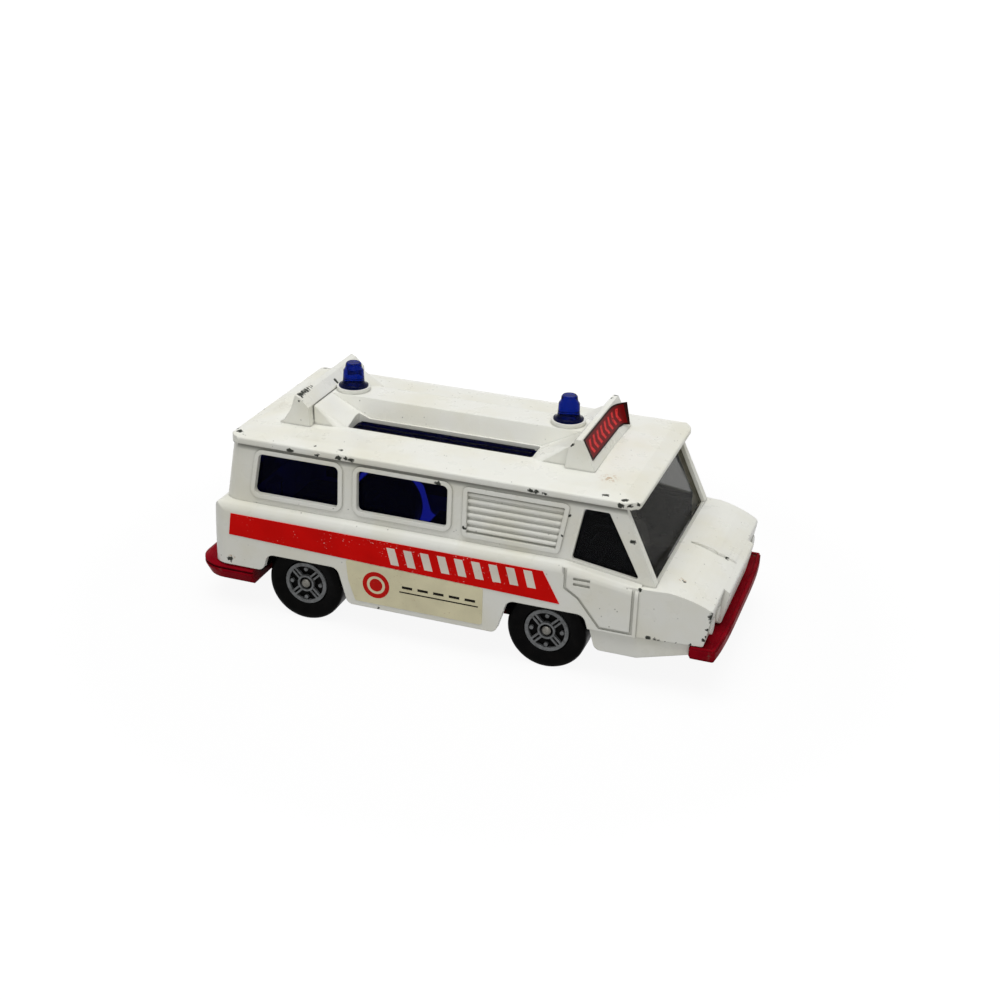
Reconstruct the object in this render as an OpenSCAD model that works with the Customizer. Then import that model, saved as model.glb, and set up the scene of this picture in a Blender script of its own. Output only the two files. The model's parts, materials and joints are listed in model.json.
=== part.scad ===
// Die-cast toy ambulance: hollow metal body, red base with both bumpers, tinted glazing,
// two roof beacons and four free-running wheels on wire axles.
// Front is +X, up is +Z, the ground is Z = 0 and the middle of the toy is X = 0, Y = 0.

/* [Wheels] */
// Distance between the axles
wheelbase = 44.7; // [40:0.1:48]
// Rear axle behind the middle of the toy
rear_axle_back = 26.5; // [25.5:0.1:27.5]
// Tyre radius, also the height of the axles
tyre_r = 7; // [6.2:0.1:7.4]
// Tyre width
tyre_w = 5.2; // [4:0.1:5.6]
// Radius of the plated hub face
hub_r = 3.9; // [3.2:0.1:4.4]
// Wheel face inside the body side
wheel_inset = 1.1; // [1:0.05:1.6]
// Axle wire radius
axle_r = 0.6; // [0.4:0.05:0.9]
// Radial clearance of a wheel on its axle
axle_gap = 0.05; // [0.02:0.01:0.1]
// Room kept round each wheel
wheel_room = 0.7; // [0.4:0.05:1]

/* [Lower body] */
// Body width at the doors
body_w = 41.4; // [38:0.2:44]
// Rear face behind the middle of the toy
body_back = 44.5; // [43:0.1:46]
// Underside of the sills
sill_z = 5.5; // [4.8:0.1:6]
// Top of the shoulder
waist_z = 20.9; // [20:0.1:22]
// Radius of the shoulder
shoulder_r = 1.9; // [1:0.1:2.4]
// Radius of the rear corners in plan
rear_corner_r = 3.2; // [2:0.1:5]
// How far the rear panel leans in over its height
rear_lean = 1; // [0:0.1:1.4]
// Underside of the body behind the rear wheels
skirt_z = 8.7; // [7.8:0.1:9.2]
// Casting wall of the lower body
wall = 1.2; // [0.9:0.05:1.6]
// Casting wall left over the wheels
arch_skin = 0.6; // [0.4:0.05:0.8]
// Top of the wheel arches
arch_z = 12; // [11.6:0.1:12.6]
// Length of a wheel arch along its top
arch_top_l = 13.4; // [12:0.1:15]
// Length of a wheel arch at the sill
arch_foot_l = 17.4; // [16:0.1:19]
// Radius of the upper corners of a wheel arch
arch_corner_r = 1.6; // [0.5:0.1:2.5]

/* [Cabin] */
// Step in from the body side to the cabin side, at the shoulder
cabin_step = 1.6; // [0.8:0.1:3]
// How far each cabin side leans in over its height
cabin_side_lean = 0.4; // [0:0.1:2]
// Rear of the cabin at the shoulder, behind the middle
cabin_low_back = 42.6; // [41:0.1:43.4]
// Rear of the cabin under the roof, behind the middle
cabin_top_back = 41.1; // [39:0.1:42]
// Underside of the roof
eave_z = 31.6; // [30:0.1:32.6]
// Windscreen at the roof, ahead of the middle
screen_top_x = 30.3; // [29:0.1:31.4]
// Foot of the windscreen, ahead of the middle
screen_foot_x = 36.3; // [35:0.1:37.4]
// Height of the windscreen's foot
screen_foot_z = 18.9; // [18:0.1:19.6]
// Width of the windscreen pillars
pillar_w = 1.3; // [0.8:0.1:2]
// Casting wall of the cabin
cabin_wall = 0.7; // [0.7:0.05:1.2]
// Where the shoulder starts to fall towards the bonnet
belt_break_x = 20.7; // [19.6:0.1:21.4]

/* [Side windows] */
// Rear pane: lower rear corner behind the middle
rear_pane_back = 36.2; // [34:0.1:36.4]
// Rear pane length along its foot
rear_pane_l = 16; // [12:0.1:16]
// How far the rear edge of the rear pane leans
rear_pane_lean = 1.1; // [0:0.1:2]
// Middle pane: rear edge behind the middle
mid_pane_back = 16.7; // [14.5:0.1:17.5]
// Middle pane length
mid_pane_l = 16.5; // [12:0.1:17]
// Panes above the shoulder
pane_lift = 1.9; // [1.6:0.1:3]
// Pane height
pane_h = 7.5; // [5:0.1:7.6]
// Pane corner radius
pane_r = 0.9; // [0.3:0.1:2]
// Width of the raised rim round a pane
rim_w = 0.8; // [0.5:0.1:1.4]
// Height of the raised rim
rim_h = 0.35; // [0.2:0.05:0.5]
// Door pane: rear foot ahead of the middle
door_pane_x = 21.8; // [21.5:0.1:23.5]
// Door pane: length along its foot
door_pane_l = 11.8; // [9:0.1:12]
// Door pane: length along its head
door_pane_head_l = 4.2; // [3:0.1:5]
// How far the rear edge of the door pane leans forward
door_pane_lean = 1.7; // [0.5:0.1:2.5]
// Door pane: head above the shoulder
door_pane_top = 9.5; // [8:0.1:9.8]

/* [Louvres] */
// Louvre panel: rear edge ahead of the middle
louvre_x = 2.5; // [2.1:0.1:4]
// Louvre panel length along its head
louvre_l = 18.7; // [14:0.1:18.8]
// How far the front edge of the panel leans back at its foot
louvre_lean = 1.5; // [0:0.1:3]
// Louvre panel height
louvre_h = 9.1; // [7:0.1:9.3]
// Foot of the panel above the shoulder
louvre_lift = 0.8; // [0.5:0.1:1.2]
// Slats in the panel
louvre_count = 6; // [4:1:8]
// Depth of the panel behind its rim
louvre_depth = 0.45; // [0.2:0.05:0.6]

/* [Doors] */
// Width of a door line
line_w = 0.45; // [0.3:0.05:0.7]
// Depth of a door line
line_d = 0.35; // [0.2:0.05:0.5]
// Foot of the doors
door_foot_z = 10.2; // [9.6:0.1:10.8]
// Front edge of the doors, ahead of the middle
door_front_x = 33; // [32:0.1:33.5]
// Length of the doors along their foot
door_foot_l = 5.4; // [4:0.1:7]
// Length of the handle recess
handle_l = 2.4; // [1.8:0.1:3.5]
// Height of the handle recess
handle_h = 1.5; // [1:0.1:2.2]

/* [Bonnet] */
// Rear edge of the nose panels, ahead of the middle
nose_x = 34.1; // [33.6:0.1:35]
// Front of the bonnet
nose_front_x = 47.1; // [46:0.1:47.4]
// Step in from the body side to the nose side, at the doors
nose_step = 0.35; // [0.2:0.05:2]
// How far each nose side draws in towards the front
nose_taper = 1.15; // [0.5:0.05:2.5]
// Fall of the bonnet towards the front
bonnet_fall = 3.4; // [2:0.1:4]
// Underside of the nose panels
nose_z = 9.6; // [9.5:0.1:10]
// Valance inside the nose panels
valance_inset = 0.9; // [0.5:0.05:1.2]
// Front of the valance, ahead of the middle
valance_front_x = 42.7; // [41.6:0.1:43.4]
// Rise of the valance towards the front bumper
valance_rise = 1.9; // [0:0.1:2.2]
// Width of the grille block between the lamps
grille_w = 20.4; // [14:0.2:24]
// Depth of the lamp bays beside the grille block
bay_d = 1; // [0.6:0.1:1.4]
// How far the front of the nose leans back at its foot
nose_undercut = 1.1; // [0.4:0.1:1.6]
// Lamp radius
lamp_r = 1.4; // [1:0.1:1.6]

/* [Roof] */
// Drip edge of the roof beyond the cabin side
roof_over = 0.6; // [0.3:0.1:1.2]
// Rear edge of the roof behind the middle
roof_back = 41; // [39.4:0.1:42]
// Front edge of the roof ahead of the middle
roof_front_x = 32.7; // [31.6:0.1:34]
// Top of the roof
roof_z = 34; // [33.4:0.1:35]
// Thickness of the roof along its edges
roof_edge_h = 1.3; // [1:0.05:1.6]
// Fall of the roof from its middle to its long edges
roof_crown = 0.7; // [0.3:0.05:0.9]
// Length of the falling stretch over the windscreen
visor_l = 9; // [6:0.1:12]
// Corner radius of the roof in plan
roof_corner_r = 2.6; // [1.5:0.1:4]
// Length of a roof window
slot_l = 33.9; // [28:0.1:35]
// Rear end of the roof windows behind the middle
slot_back = 22.6; // [21.5:0.1:23]
// Width of a roof window
slot_w = 4.9; // [3:0.1:5.4]
// Inner edge of a roof window from the middle plane
slot_in = 4.7; // [4.7:0.1:6]
// Ribs on each roof window
slot_ribs = 3; // [2:1:5]
// Roof windows below the roof
slot_sink = 0.4; // [0.2:0.05:0.6]
// Top of the spine
spine_z = 37.2; // [36:0.1:38]
// Width of the spine along its top
spine_top_w = 6.2; // [5:0.1:7]
// Width of the spine at the roof
spine_foot_w = 9.2; // [8:0.1:9.4]

/* [Wing and sign] */
// Wing width
wing_w = 24; // [18:0.2:28]
// Top of the wing
wing_z = 39.2; // [38.4:0.1:40]
// Rear foot of the wing behind the middle
wing_back = 34.4; // [32.6:0.1:35.4]
// Front foot of the wing behind the middle
wing_front = 28.6; // [28.2:0.1:29.4]
// Thickness of the wing along its top
wing_top_t = 0.8; // [0.5:0.1:1.4]
// Sign housing width
sign_w = 23; // [18:0.2:28]
// Top of the sign housing
sign_z = 39.1; // [38.4:0.1:40]
// Rear foot of the sign housing ahead of the middle
sign_back_x = 17.6; // [17.6:0.1:19.4]
// Front foot of the sign housing ahead of the middle
sign_front_x = 22.9; // [21.6:0.1:23.6]
// Thickness of the sign housing along its top
sign_top_t = 0.9; // [0.5:0.1:1.4]
// Height of the sign label along the leaning face
sign_label_h = 3.9; // [3:0.1:4.4]
// How far the loose end of the sign label stands off
sign_curl = 1.5; // [0.4:0.1:1.8]

/* [Beacons] */
// Rear beacon behind the middle
beacon_back = 25.7; // [24.6:0.1:25.8]
// Front beacon ahead of the middle
beacon_front_x = 14.6; // [13.6:0.1:14.7]
// Radius of a beacon's foot
beacon_foot_r = 2.65; // [2:0.05:2.9]
// Radius of a beacon's drum
beacon_r = 1.95; // [1.5:0.05:2.1]
// Radius of a beacon's cap
beacon_cap_r = 1.4; // [0.9:0.05:1.45]
// Height of a beacon above its seat
beacon_h = 4.4; // [3.6:0.1:5.4]

/* [Base and bumpers] */
// Thickness of the base
base_t = 1.2; // [0.8:0.1:1.8]
// Front of the front bumper
bumper_front_x = 47.8; // [47.6:0.1:49]
// Rear of the rear bumper behind the middle
bumper_back = 47.8; // [47:0.1:49]
// Front bumper beyond the nose at each side
bumper_out = 0.7; // [0:0.05:1]
// Underside of the front bumper
bumper_z = 7.3; // [6.4:0.1:7.4]
// Height of the front bumper
bumper_h = 2.1; // [1.4:0.1:2.2]
// Underside of the rear bumper
rear_bumper_z = 5.4; // [4.4:0.1:5.5]
// How far the front bumper curves back at its ends
bumper_bow = 0.7; // [0.4:0.1:1.8]
// Length of the rear bumper's sides
rear_bumper_l = 11.6; // [9:0.1:12]
// Corner radius of the rear bumper
rear_bumper_r = 5.4; // [3:0.1:6]
// Radius of the body posts
post_r = 1.9; // [1.5:0.1:2.4]
// Radius of the spun shank of a post
shank_r = 1.1; // [0.8:0.1:1.3]

/* [Labels] */
// Thickness of labels and transfers
paper_t = 0.12; // [0.08:0.02:0.2]
// Top of the side stripe
stripe_z = 18.8; // [18:0.1:19]
// Height of the stripe at its rear end
stripe_back_h = 4.1; // [3:0.1:5]
// Height of the stripe at its front end
stripe_front_h = 5.5; // [4:0.1:6]
// Rear end of the stripe behind the middle
stripe_back = 40.6; // [36:0.1:41]
// Front end of the stripe's foot, ahead of the middle
stripe_front_x = 20.6; // [18:0.1:20.8]
// How far the stripe's front end leans back at its head
stripe_lean = 3.1; // [0:0.1:5]
// Side label: rear end behind the middle
panel_back = 18.1; // [16.6:0.1:18.4]
// Side label length
panel_l = 25.2; // [18:0.1:25.6]
// Foot of the side label
panel_z = 6.5; // [6:0.1:7]

/* [Fits] */
// Clearance between fixed pieces that do not touch
fit_gap = 0.12; // [0.05:0.01:0.2]
// Overrun of every cut
over = 0.5; // [0.2:0.1:1]

/* [Hidden] */
$fn = 32;
rear_axle_x = -rear_axle_back;
front_axle_x = rear_axle_x + wheelbase;
wheel_face_y = body_w / 2 - wheel_inset;
well_w = wheel_inset + tyre_w + wheel_room;
total_l = bumper_front_x + bumper_back;
cabin_low_w = body_w - 2 * cabin_step;
cabin_top_w = cabin_low_w - 2 * cabin_side_lean;
roof_w = cabin_top_w + 2 * roof_over;
nose_back_w = body_w - 2 * nose_step;
nose_front_w = nose_back_w - 2 * nose_taper;
bumper_w = nose_front_w + 2 * bumper_out;
cabin_tilt = atan((cabin_low_w - cabin_top_w) / 2 / (eave_z - waist_z));
rear_tilt = atan((cabin_low_back - cabin_top_back) / (eave_z - waist_z));
screen_tilt = atan((screen_foot_x - screen_top_x) / (eave_z - screen_foot_z));
screen_l = (eave_z - screen_foot_z) / cos(screen_tilt);
belt_fall = atan((waist_z - screen_foot_z) / (nose_x - belt_break_x));
seat_z = spine_z + 2 * rim_h;
nose_root_x = nose_x - 2 * wall;
base_z = sill_z;
base_top = base_z + base_t;
deck_x = front_axle_x + arch_foot_l / 2 + wall;
deck_z = base_z + valance_rise;
glass_t = cabin_wall;
post_rear_x = -(body_back - wall - post_r / 2);
post_front_x = valance_front_x - post_r;

// Rounds the outer corners of a flat shape
module rounded(r) {
    offset(r = r) offset(delta = -r) children();
}

// Extrudes a side profile, drawn in X and Z, across the middle plane
module across(w) {
    rotate([90, 0, 0]) linear_extrude(w, center = true) children();
}

// Extrudes a cross-section, drawn in Y and Z, from one X to another
module along(x0, x1) {
    translate([x0, 0, 0]) rotate([90, 0, 90]) linear_extrude(x1 - x0) children();
}

module both_sides() {
    for (side = [0, 1]) mirror([0, side, 0]) children();
}

// Puts flat work on the leaning cabin side: X forward, Y up the side from the shoulder, Z outward
module on_cabin_side() {
    both_sides() translate([0, -cabin_low_w / 2, waist_z]) rotate([90 - cabin_tilt, 0, 0]) children();
}

// Puts flat work on the upright body side: X forward, Y up from the ground, Z outward
module on_body_side() {
    translate([0, -body_w / 2, 0]) rotate([90, 0, 0]) children();
}

// Puts flat work on the leaning rear of the cabin: X to the left, Y up from the shoulder, Z outward
module on_cabin_rear() {
    translate([-cabin_low_back, 0, waist_z]) rotate([90 - rear_tilt, 0, -90]) children();
}

// Puts flat work on the windscreen: X to the left, Y up the glass from its foot, Z outward
module on_screen() {
    translate([screen_foot_x, 0, screen_foot_z]) rotate([90 - screen_tilt, 0, 90]) children();
}

// Section of the lower body with its rounded shoulders
module belt_section(inset) {
    offset(delta = -inset) rounded(shoulder_r)
        translate([-body_w / 2, -waist_z]) square([body_w, 2 * waist_z]);
}

module lower_plan(inset) {
    offset(delta = -inset) rounded(rear_corner_r)
        translate([-body_back, -body_w / 2]) square([body_back + nose_x + rear_corner_r, body_w]);
}

// Lower body up to the shoulder, which falls along the doors
module lower_form(inset) {
    intersection() {
        linear_extrude(waist_z) intersection() {
            lower_plan(inset);
            translate([-total_l, -body_w]) square([total_l + nose_x - inset, 2 * body_w]);
        }
        across(body_w) offset(delta = -inset) rounded(shoulder_r) polygon([
            [-body_back, -waist_z], [-body_back, skirt_z], [-body_back + rear_lean, waist_z],
            [total_l, waist_z], [total_l, -waist_z]]);
        union() {
            along(-total_l, belt_break_x) belt_section(inset);
            translate([belt_break_x, 0, waist_z]) rotate([0, belt_fall, 0]) translate([0, 0, -waist_z])
                along(-inset, total_l) belt_section(inset);
        }
    }
}

module cabin_plan(back, w, inset) {
    offset(delta = -inset) rounded(rear_corner_r)
        translate([-back, -w / 2]) square([back + nose_front_x, w]);
}

// Upper cabin between the shoulder and a top, leaning in on all sides
module cabin_form(inset, top_z) {
    low_z = waist_z - 2 * shoulder_r;
    rise = top_z + inset - screen_foot_z;
    intersection() {
        hull() {
            translate([0, 0, low_z]) linear_extrude(waist_z - low_z)
                cabin_plan(cabin_low_back, cabin_low_w, inset);
            translate([0, 0, eave_z]) linear_extrude(over) cabin_plan(cabin_top_back, cabin_top_w, inset);
        }
        across(body_w) offset(delta = -inset) polygon([[-total_l, low_z - inset], [-total_l, top_z + inset],
            [screen_foot_x - rise * tan(screen_tilt), top_z + inset], [screen_foot_x, screen_foot_z],
            [screen_foot_x, low_z - inset]]);
    }
}

// Bonnet line: level at the windscreen, falling faster towards the front
function bonnet_z(x) = screen_foot_z - bonnet_fall * pow((x - nose_root_x) / (nose_front_x - nose_root_x), 3);

// Side profile of the nose up to a given front, with its undercut
module nose_profile(front_x, low_z) {
    steps = 12;
    rounded(line_w) polygon(concat(
        [for (i = [0:steps]) let (x = nose_root_x + (front_x - nose_root_x) * i / steps) [x, bonnet_z(x)]],
        [[front_x - nose_undercut, low_z], [nose_root_x, low_z]]));
}

module nose_crown() {
    rounded(line_w) polygon([[-body_w / 2, -roof_z], [-body_w / 2, screen_foot_z - line_d],
        [0, screen_foot_z + line_d], [body_w / 2, screen_foot_z - line_d], [body_w / 2, -roof_z]]);
}

// Nose with tapered sides and a crowned bonnet, as far as the lamp bays
module nose_form(inset, low_z) {
    front_x = nose_front_x - bay_d;
    intersection() {
        across(body_w) offset(delta = -inset) nose_profile(front_x, low_z);
        linear_extrude(roof_z) offset(delta = -inset) rounded(rim_w) polygon([
            [nose_root_x - rim_w, -nose_back_w / 2], [nose_x, -nose_back_w / 2], [front_x, -nose_front_w / 2],
            [front_x, nose_front_w / 2], [nose_x, nose_back_w / 2], [nose_root_x - rim_w, nose_back_w / 2]]);
        along(-total_l, total_l) offset(delta = -inset) nose_crown();
    }
}

// Block in the middle of the nose that stands out between the lamp bays
module grille_block() {
    intersection() {
        across(grille_w) nose_profile(nose_front_x, nose_z);
        along(nose_front_x - bay_d - wall - nose_undercut, nose_front_x) nose_crown();
    }
}

// Valance under the doors and nose panels, rising to the front bumper
module valance_form(inset) {
    back_x = front_axle_x;
    back_w = body_w - 2 * valance_inset;
    front_w = nose_front_w - valance_inset;
    intersection() {
        translate([0, 0, -inset]) linear_extrude(nose_z + wall) offset(delta = -inset) polygon([
            [back_x - inset, -back_w / 2], [nose_x, -back_w / 2], [valance_front_x + inset, -front_w / 2],
            [valance_front_x + inset, front_w / 2], [nose_x, back_w / 2], [back_x - inset, back_w / 2]]);
        across(body_w) polygon([[back_x, nose_z + wall], [back_x, sill_z - inset],
            [nose_x, sill_z - inset], [valance_front_x, sill_z + valance_rise - inset],
            [valance_front_x, nose_z + wall]]);
    }
}

// Opening of a wheel arch, drawn in X and Z about the axle
module arch_outline() {
    rounded(arch_corner_r) polygon([[-arch_foot_l / 2, -over], [arch_foot_l / 2, -over],
        [arch_foot_l / 2, sill_z], [arch_top_l / 2, arch_z], [-arch_top_l / 2, arch_z],
        [-arch_foot_l / 2, sill_z]]);
}

module wheel_wells() {
    for (x = [rear_axle_x, front_axle_x]) {
        across(body_w + over) translate([x, 0]) arch_outline();
        both_sides() translate([x, wheel_face_y - tyre_w - wheel_room, tyre_r]) rotate([-90, 0, 0])
            cylinder(r = tyre_r + wheel_room, h = well_w - arch_skin);
    }
}

module rear_pane_outline() {
    rounded(pane_r) polygon([[-rear_pane_back, pane_lift], [-rear_pane_back + rear_pane_l, pane_lift],
        [-rear_pane_back + rear_pane_l, pane_lift + pane_h],
        [-rear_pane_back + rear_pane_lean, pane_lift + pane_h]]);
}

module mid_pane_outline() {
    rounded(pane_r) translate([-mid_pane_back, pane_lift]) square([mid_pane_l, pane_h]);
}

// The door pane's foot follows the falling shoulder
module door_pane_outline() {
    foot = (door_pane_x - belt_break_x) * tan(belt_fall);
    fall = door_pane_l * tan(belt_fall);
    rounded(pane_r / 2) polygon([[door_pane_x, line_w - foot],
        [door_pane_x + door_pane_l, line_w - foot - fall],
        [door_pane_x + door_pane_lean + door_pane_head_l, door_pane_top],
        [door_pane_x + door_pane_lean, door_pane_top]]);
}

module louvre_outline() {
    rounded(pane_r) polygon([[louvre_x, louvre_lift], [louvre_x + louvre_l - louvre_lean, louvre_lift],
        [louvre_x + louvre_l, louvre_lift + louvre_h], [louvre_x, louvre_lift + louvre_h]]);
}

// Raised rim round an opening
module rim() {
    linear_extrude(rim_h) difference() {
        offset(r = rim_w) children();
        children();
    }
}

// Slats that stand in the recessed louvre panel, each a half round
module louvre_slats() {
    pitch = (louvre_h - 2 * rim_w) / louvre_count;
    intersection() {
        translate([0, 0, -(louvre_depth + cabin_wall) / 2]) linear_extrude(cabin_wall)
            offset(delta = -rim_w) louvre_outline();
        for (i = [0:louvre_count - 1])
            translate([louvre_x, louvre_lift + rim_w + pitch * (i + 1 / 2), -louvre_depth])
                rotate([0, 90, 0]) cylinder(r = louvre_depth, h = louvre_l, $fn = 16);
    }
}

module rear_window_outline() {
    half_w = cabin_top_w / 2 - 2 * rear_corner_r;
    rounded(pane_r) translate([-half_w, pane_lift]) square([2 * half_w, pane_h]);
}

// Line of a front door, with the stepped rear edge that clears the wheel arch
module door_outline() {
    back_x = door_pane_x - line_w;
    step_z = arch_z + (waist_z - arch_z) / 2;
    polygon([[back_x, waist_z + over], [back_x, step_z], [back_x + handle_l, step_z - handle_h],
        [door_front_x - door_foot_l, door_foot_z], [door_front_x, door_foot_z],
        [door_front_x, waist_z + over]]);
}

module line_of(w) {
    difference() {
        offset(delta = w / 2) children();
        offset(delta = -w / 2) children();
    }
}

module door_lines() {
    both_sides() on_body_side() translate([0, 0, -line_d]) linear_extrude(line_d + over) {
        line_of(line_w) door_outline();
        translate([nose_x - line_w / 2, nose_z]) square([line_w, waist_z - nose_z]);
    }
}

// Two slots behind each door handle, which leave its bar standing between them
module handle_recess() {
    both_sides() on_body_side() translate([door_pane_x + handle_l, waist_z - 2 * handle_h, -line_d])
        linear_extrude(line_d + over) for (side = [-1, 1])
            translate([0, side * handle_h / 3]) square([handle_l + line_w, line_w], center = true);
}

// Rear door lines and the lamps beside them
module rear_door_lines() {
    half_w = cabin_top_w / 2 - rear_corner_r;
    top = eave_z - waist_z - rim_w;
    on_cabin_rear() translate([0, 0, -line_d]) linear_extrude(line_d + 2 * over) {
        line_of(line_w) translate([-half_w, -waist_z]) square([2 * half_w, waist_z + top]);
        translate([-line_w / 2, -waist_z]) square([line_w, waist_z + pane_lift - rim_w]);
    }
    translate([-body_back - over, 0, 0]) along(0, over + line_d) {
        line_of(line_w) translate([-half_w, skirt_z + wall]) square([2 * half_w, waist_z]);
        translate([-line_w / 2, skirt_z + wall]) square([line_w, waist_z]);
    }
}

module tail_lamps() {
    lamp_y = body_w / 2 - rear_corner_r - lamp_r;
    both_sides() translate([-body_back + rear_lean, -lamp_y, skirt_z + wall + 2 * lamp_r])
        rotate([0, -90, 0]) cylinder(r = lamp_r, h = rear_lean + line_d);
}

// Lamps in the bays beside the grille block
module front_lamps() {
    bay_w = (nose_front_w - grille_w) / 2;
    mid_z = (nose_z + screen_foot_z - bonnet_fall) / 2;
    wall_x = nose_front_x - bay_d - nose_undercut / 2;
    for (share = [1 / 4, 3 / 4])
        both_sides() translate([wall_x - wall / 2, -grille_w / 2 - bay_w * share, mid_z])
            rotate([0, 90, 0]) cylinder(r = lamp_r, h = wall / 2 + line_d);
}

// Slender raised crease along the middle of the bonnet
module bonnet_crease() {
    steps = 8;
    from_x = screen_foot_x + visor_l / 6;
    nose_l = nose_front_x - nose_x;
    intersection() {
        across(body_w) polygon(concat(
            [for (i = [0:steps]) let (x = from_x + (nose_front_x - wall - from_x) * i / steps)
                [x, bonnet_z(x) + line_d * (1 + 2 * sin(180 * i / steps)) / 2]],
            [[nose_front_x - wall, nose_z + wall], [from_x, screen_foot_z - wall]]));
        linear_extrude(roof_z) polygon([[from_x, 0], [nose_front_x - nose_l / 3, -rim_w],
            [nose_front_x, 0], [nose_front_x - nose_l / 3, rim_w / 4]]);
    }
}

module roof_plan() {
    rounded(roof_corner_r) translate([-roof_back, -roof_w / 2]) square([roof_back + roof_front_x, roof_w]);
}

// Roof panel: crowned across, with a falling visor and rounded edges
module roof_form() {
    edge_z = eave_z + roof_edge_h;
    steps = 8;
    intersection() {
        translate([0, 0, eave_z - over]) linear_extrude(roof_z) roof_plan();
        across(body_w) rounded(roof_edge_h / 3) polygon([[-roof_back, eave_z], [-roof_back, edge_z],
            [-roof_back + visor_l / 3, roof_z], [roof_front_x - visor_l, roof_z],
            [roof_front_x - visor_l / 3, roof_z - (roof_z - edge_z) / 2], [roof_front_x, edge_z - line_d],
            [roof_front_x, eave_z]]);
        along(-total_l, total_l) rounded(roof_edge_h / 3) polygon(concat(
            [for (i = [-steps:steps]) let (share = i / steps)
                [share * roof_w / 2, roof_z - roof_crown * share * share - (abs(i) == steps
                    ? roof_z - roof_crown - edge_z : 0)]],
            [[roof_w / 2, eave_z], [-roof_w / 2, eave_z]]));
    }
}

// Spine between the beacons
module spine() {
    foot_z = roof_z - roof_crown;
    along(-wing_front, sign_back_x + sign_top_t) polygon([[-spine_foot_w / 2, foot_z],
        [-spine_top_w / 2, spine_z], [spine_top_w / 2, spine_z], [spine_foot_w / 2, foot_z]]);
    for (x = [-beacon_back, beacon_front_x])
        translate([x, 0, foot_z]) cylinder(r = beacon_foot_r + line_d, h = seat_z - foot_z);
}

function roof_at(y) = roof_z - roof_crown * pow(2 * y / roof_w, 2);

// Ramp that falls forward from the spine's height at head_x to the roof, longest beside the spine
module roof_ramp(head_x, near_x, mid_x, far_x) {
    near_y = slot_in + slot_w + rim_w;
    mid_y = slot_in + slot_w;
    far_y = spine_foot_w / 2;
    top = [[head_x, -near_y, spine_z], [near_x, -near_y, roof_at(near_y)], [mid_x, -mid_y, roof_at(mid_y)],
        [far_x, -far_y, roof_at(far_y)], [far_x, 0, roof_z], [head_x, 0, spine_z]];
    foot = [for (corner = top) [corner[0], corner[1], roof_z - 2 * roof_crown]];
    both_sides() polyhedron(concat(top, foot), concat(
        [[2, 1, 0], [3, 2, 0], [5, 3, 0], [5, 4, 3], [6, 7, 8, 9, 10, 11]],
        [for (i = [0:5]) let (next = (i + 1) % 6) [i, next, next + 6, i + 6]]));
}

module ramps() {
    front_x = slot_l - slot_back;
    step = spine_top_w / 3;
    roof_ramp(-wing_front, -slot_back - step - rim_h, -slot_back, -slot_back + step);
    mirror([1, 0, 0]) roof_ramp(-sign_back_x - rim_h, -front_x - step, -front_x, -front_x);
}

// Wing across the rear of the roof with a hollow rear slope
module wing() {
    foot_z = roof_z - roof_crown;
    top_x = -(wing_back + wing_front) / 2 + wing_top_t;
    across(wing_w) polygon([[-wing_back, foot_z], [-wing_back, roof_z],
        [-wing_back + wing_top_t, roof_z + line_w], [top_x - 2 * wing_top_t, (roof_z + wing_z) / 2],
        [top_x - wing_top_t, wing_z], [top_x, wing_z - line_d], [-wing_front - line_d, spine_z],
        [-wing_front, foot_z]]);
}

// Housing of the roof sign: upright behind, leaning in front
module sign_housing() {
    foot_z = roof_z - roof_crown;
    head_x = (sign_back_x + sign_front_x) / 2 - sign_top_t;
    across(sign_w) polygon([[sign_back_x, foot_z], [sign_back_x + line_d, spine_z],
        [head_x, sign_z], [head_x + sign_top_t, sign_z], [sign_front_x, roof_z], [sign_front_x, foot_z]]);
}

module roof_slots() {
    both_sides() translate([-slot_back, -slot_in - slot_w, eave_z - over])
        linear_extrude(roof_z) rounded(pane_r / 2) square([slot_l, slot_w]);
}

// Posts that hold the base, each ending in a spun head
module posts() {
    for (post = [[post_rear_x, base_z, waist_z - 2 * shoulder_r],
        [post_front_x, deck_z, bonnet_z(post_front_x)]])
        translate([post[0], 0, post[1]]) {
            translate([0, 0, base_t]) cylinder(r = post_r, h = post[2] - wall / 2 - post[1] - base_t);
            cylinder(r = shank_r, h = base_t);
            translate([0, 0, -line_d]) cylinder(r = post_r - line_w / 2, h = line_d);
        }
}

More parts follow.
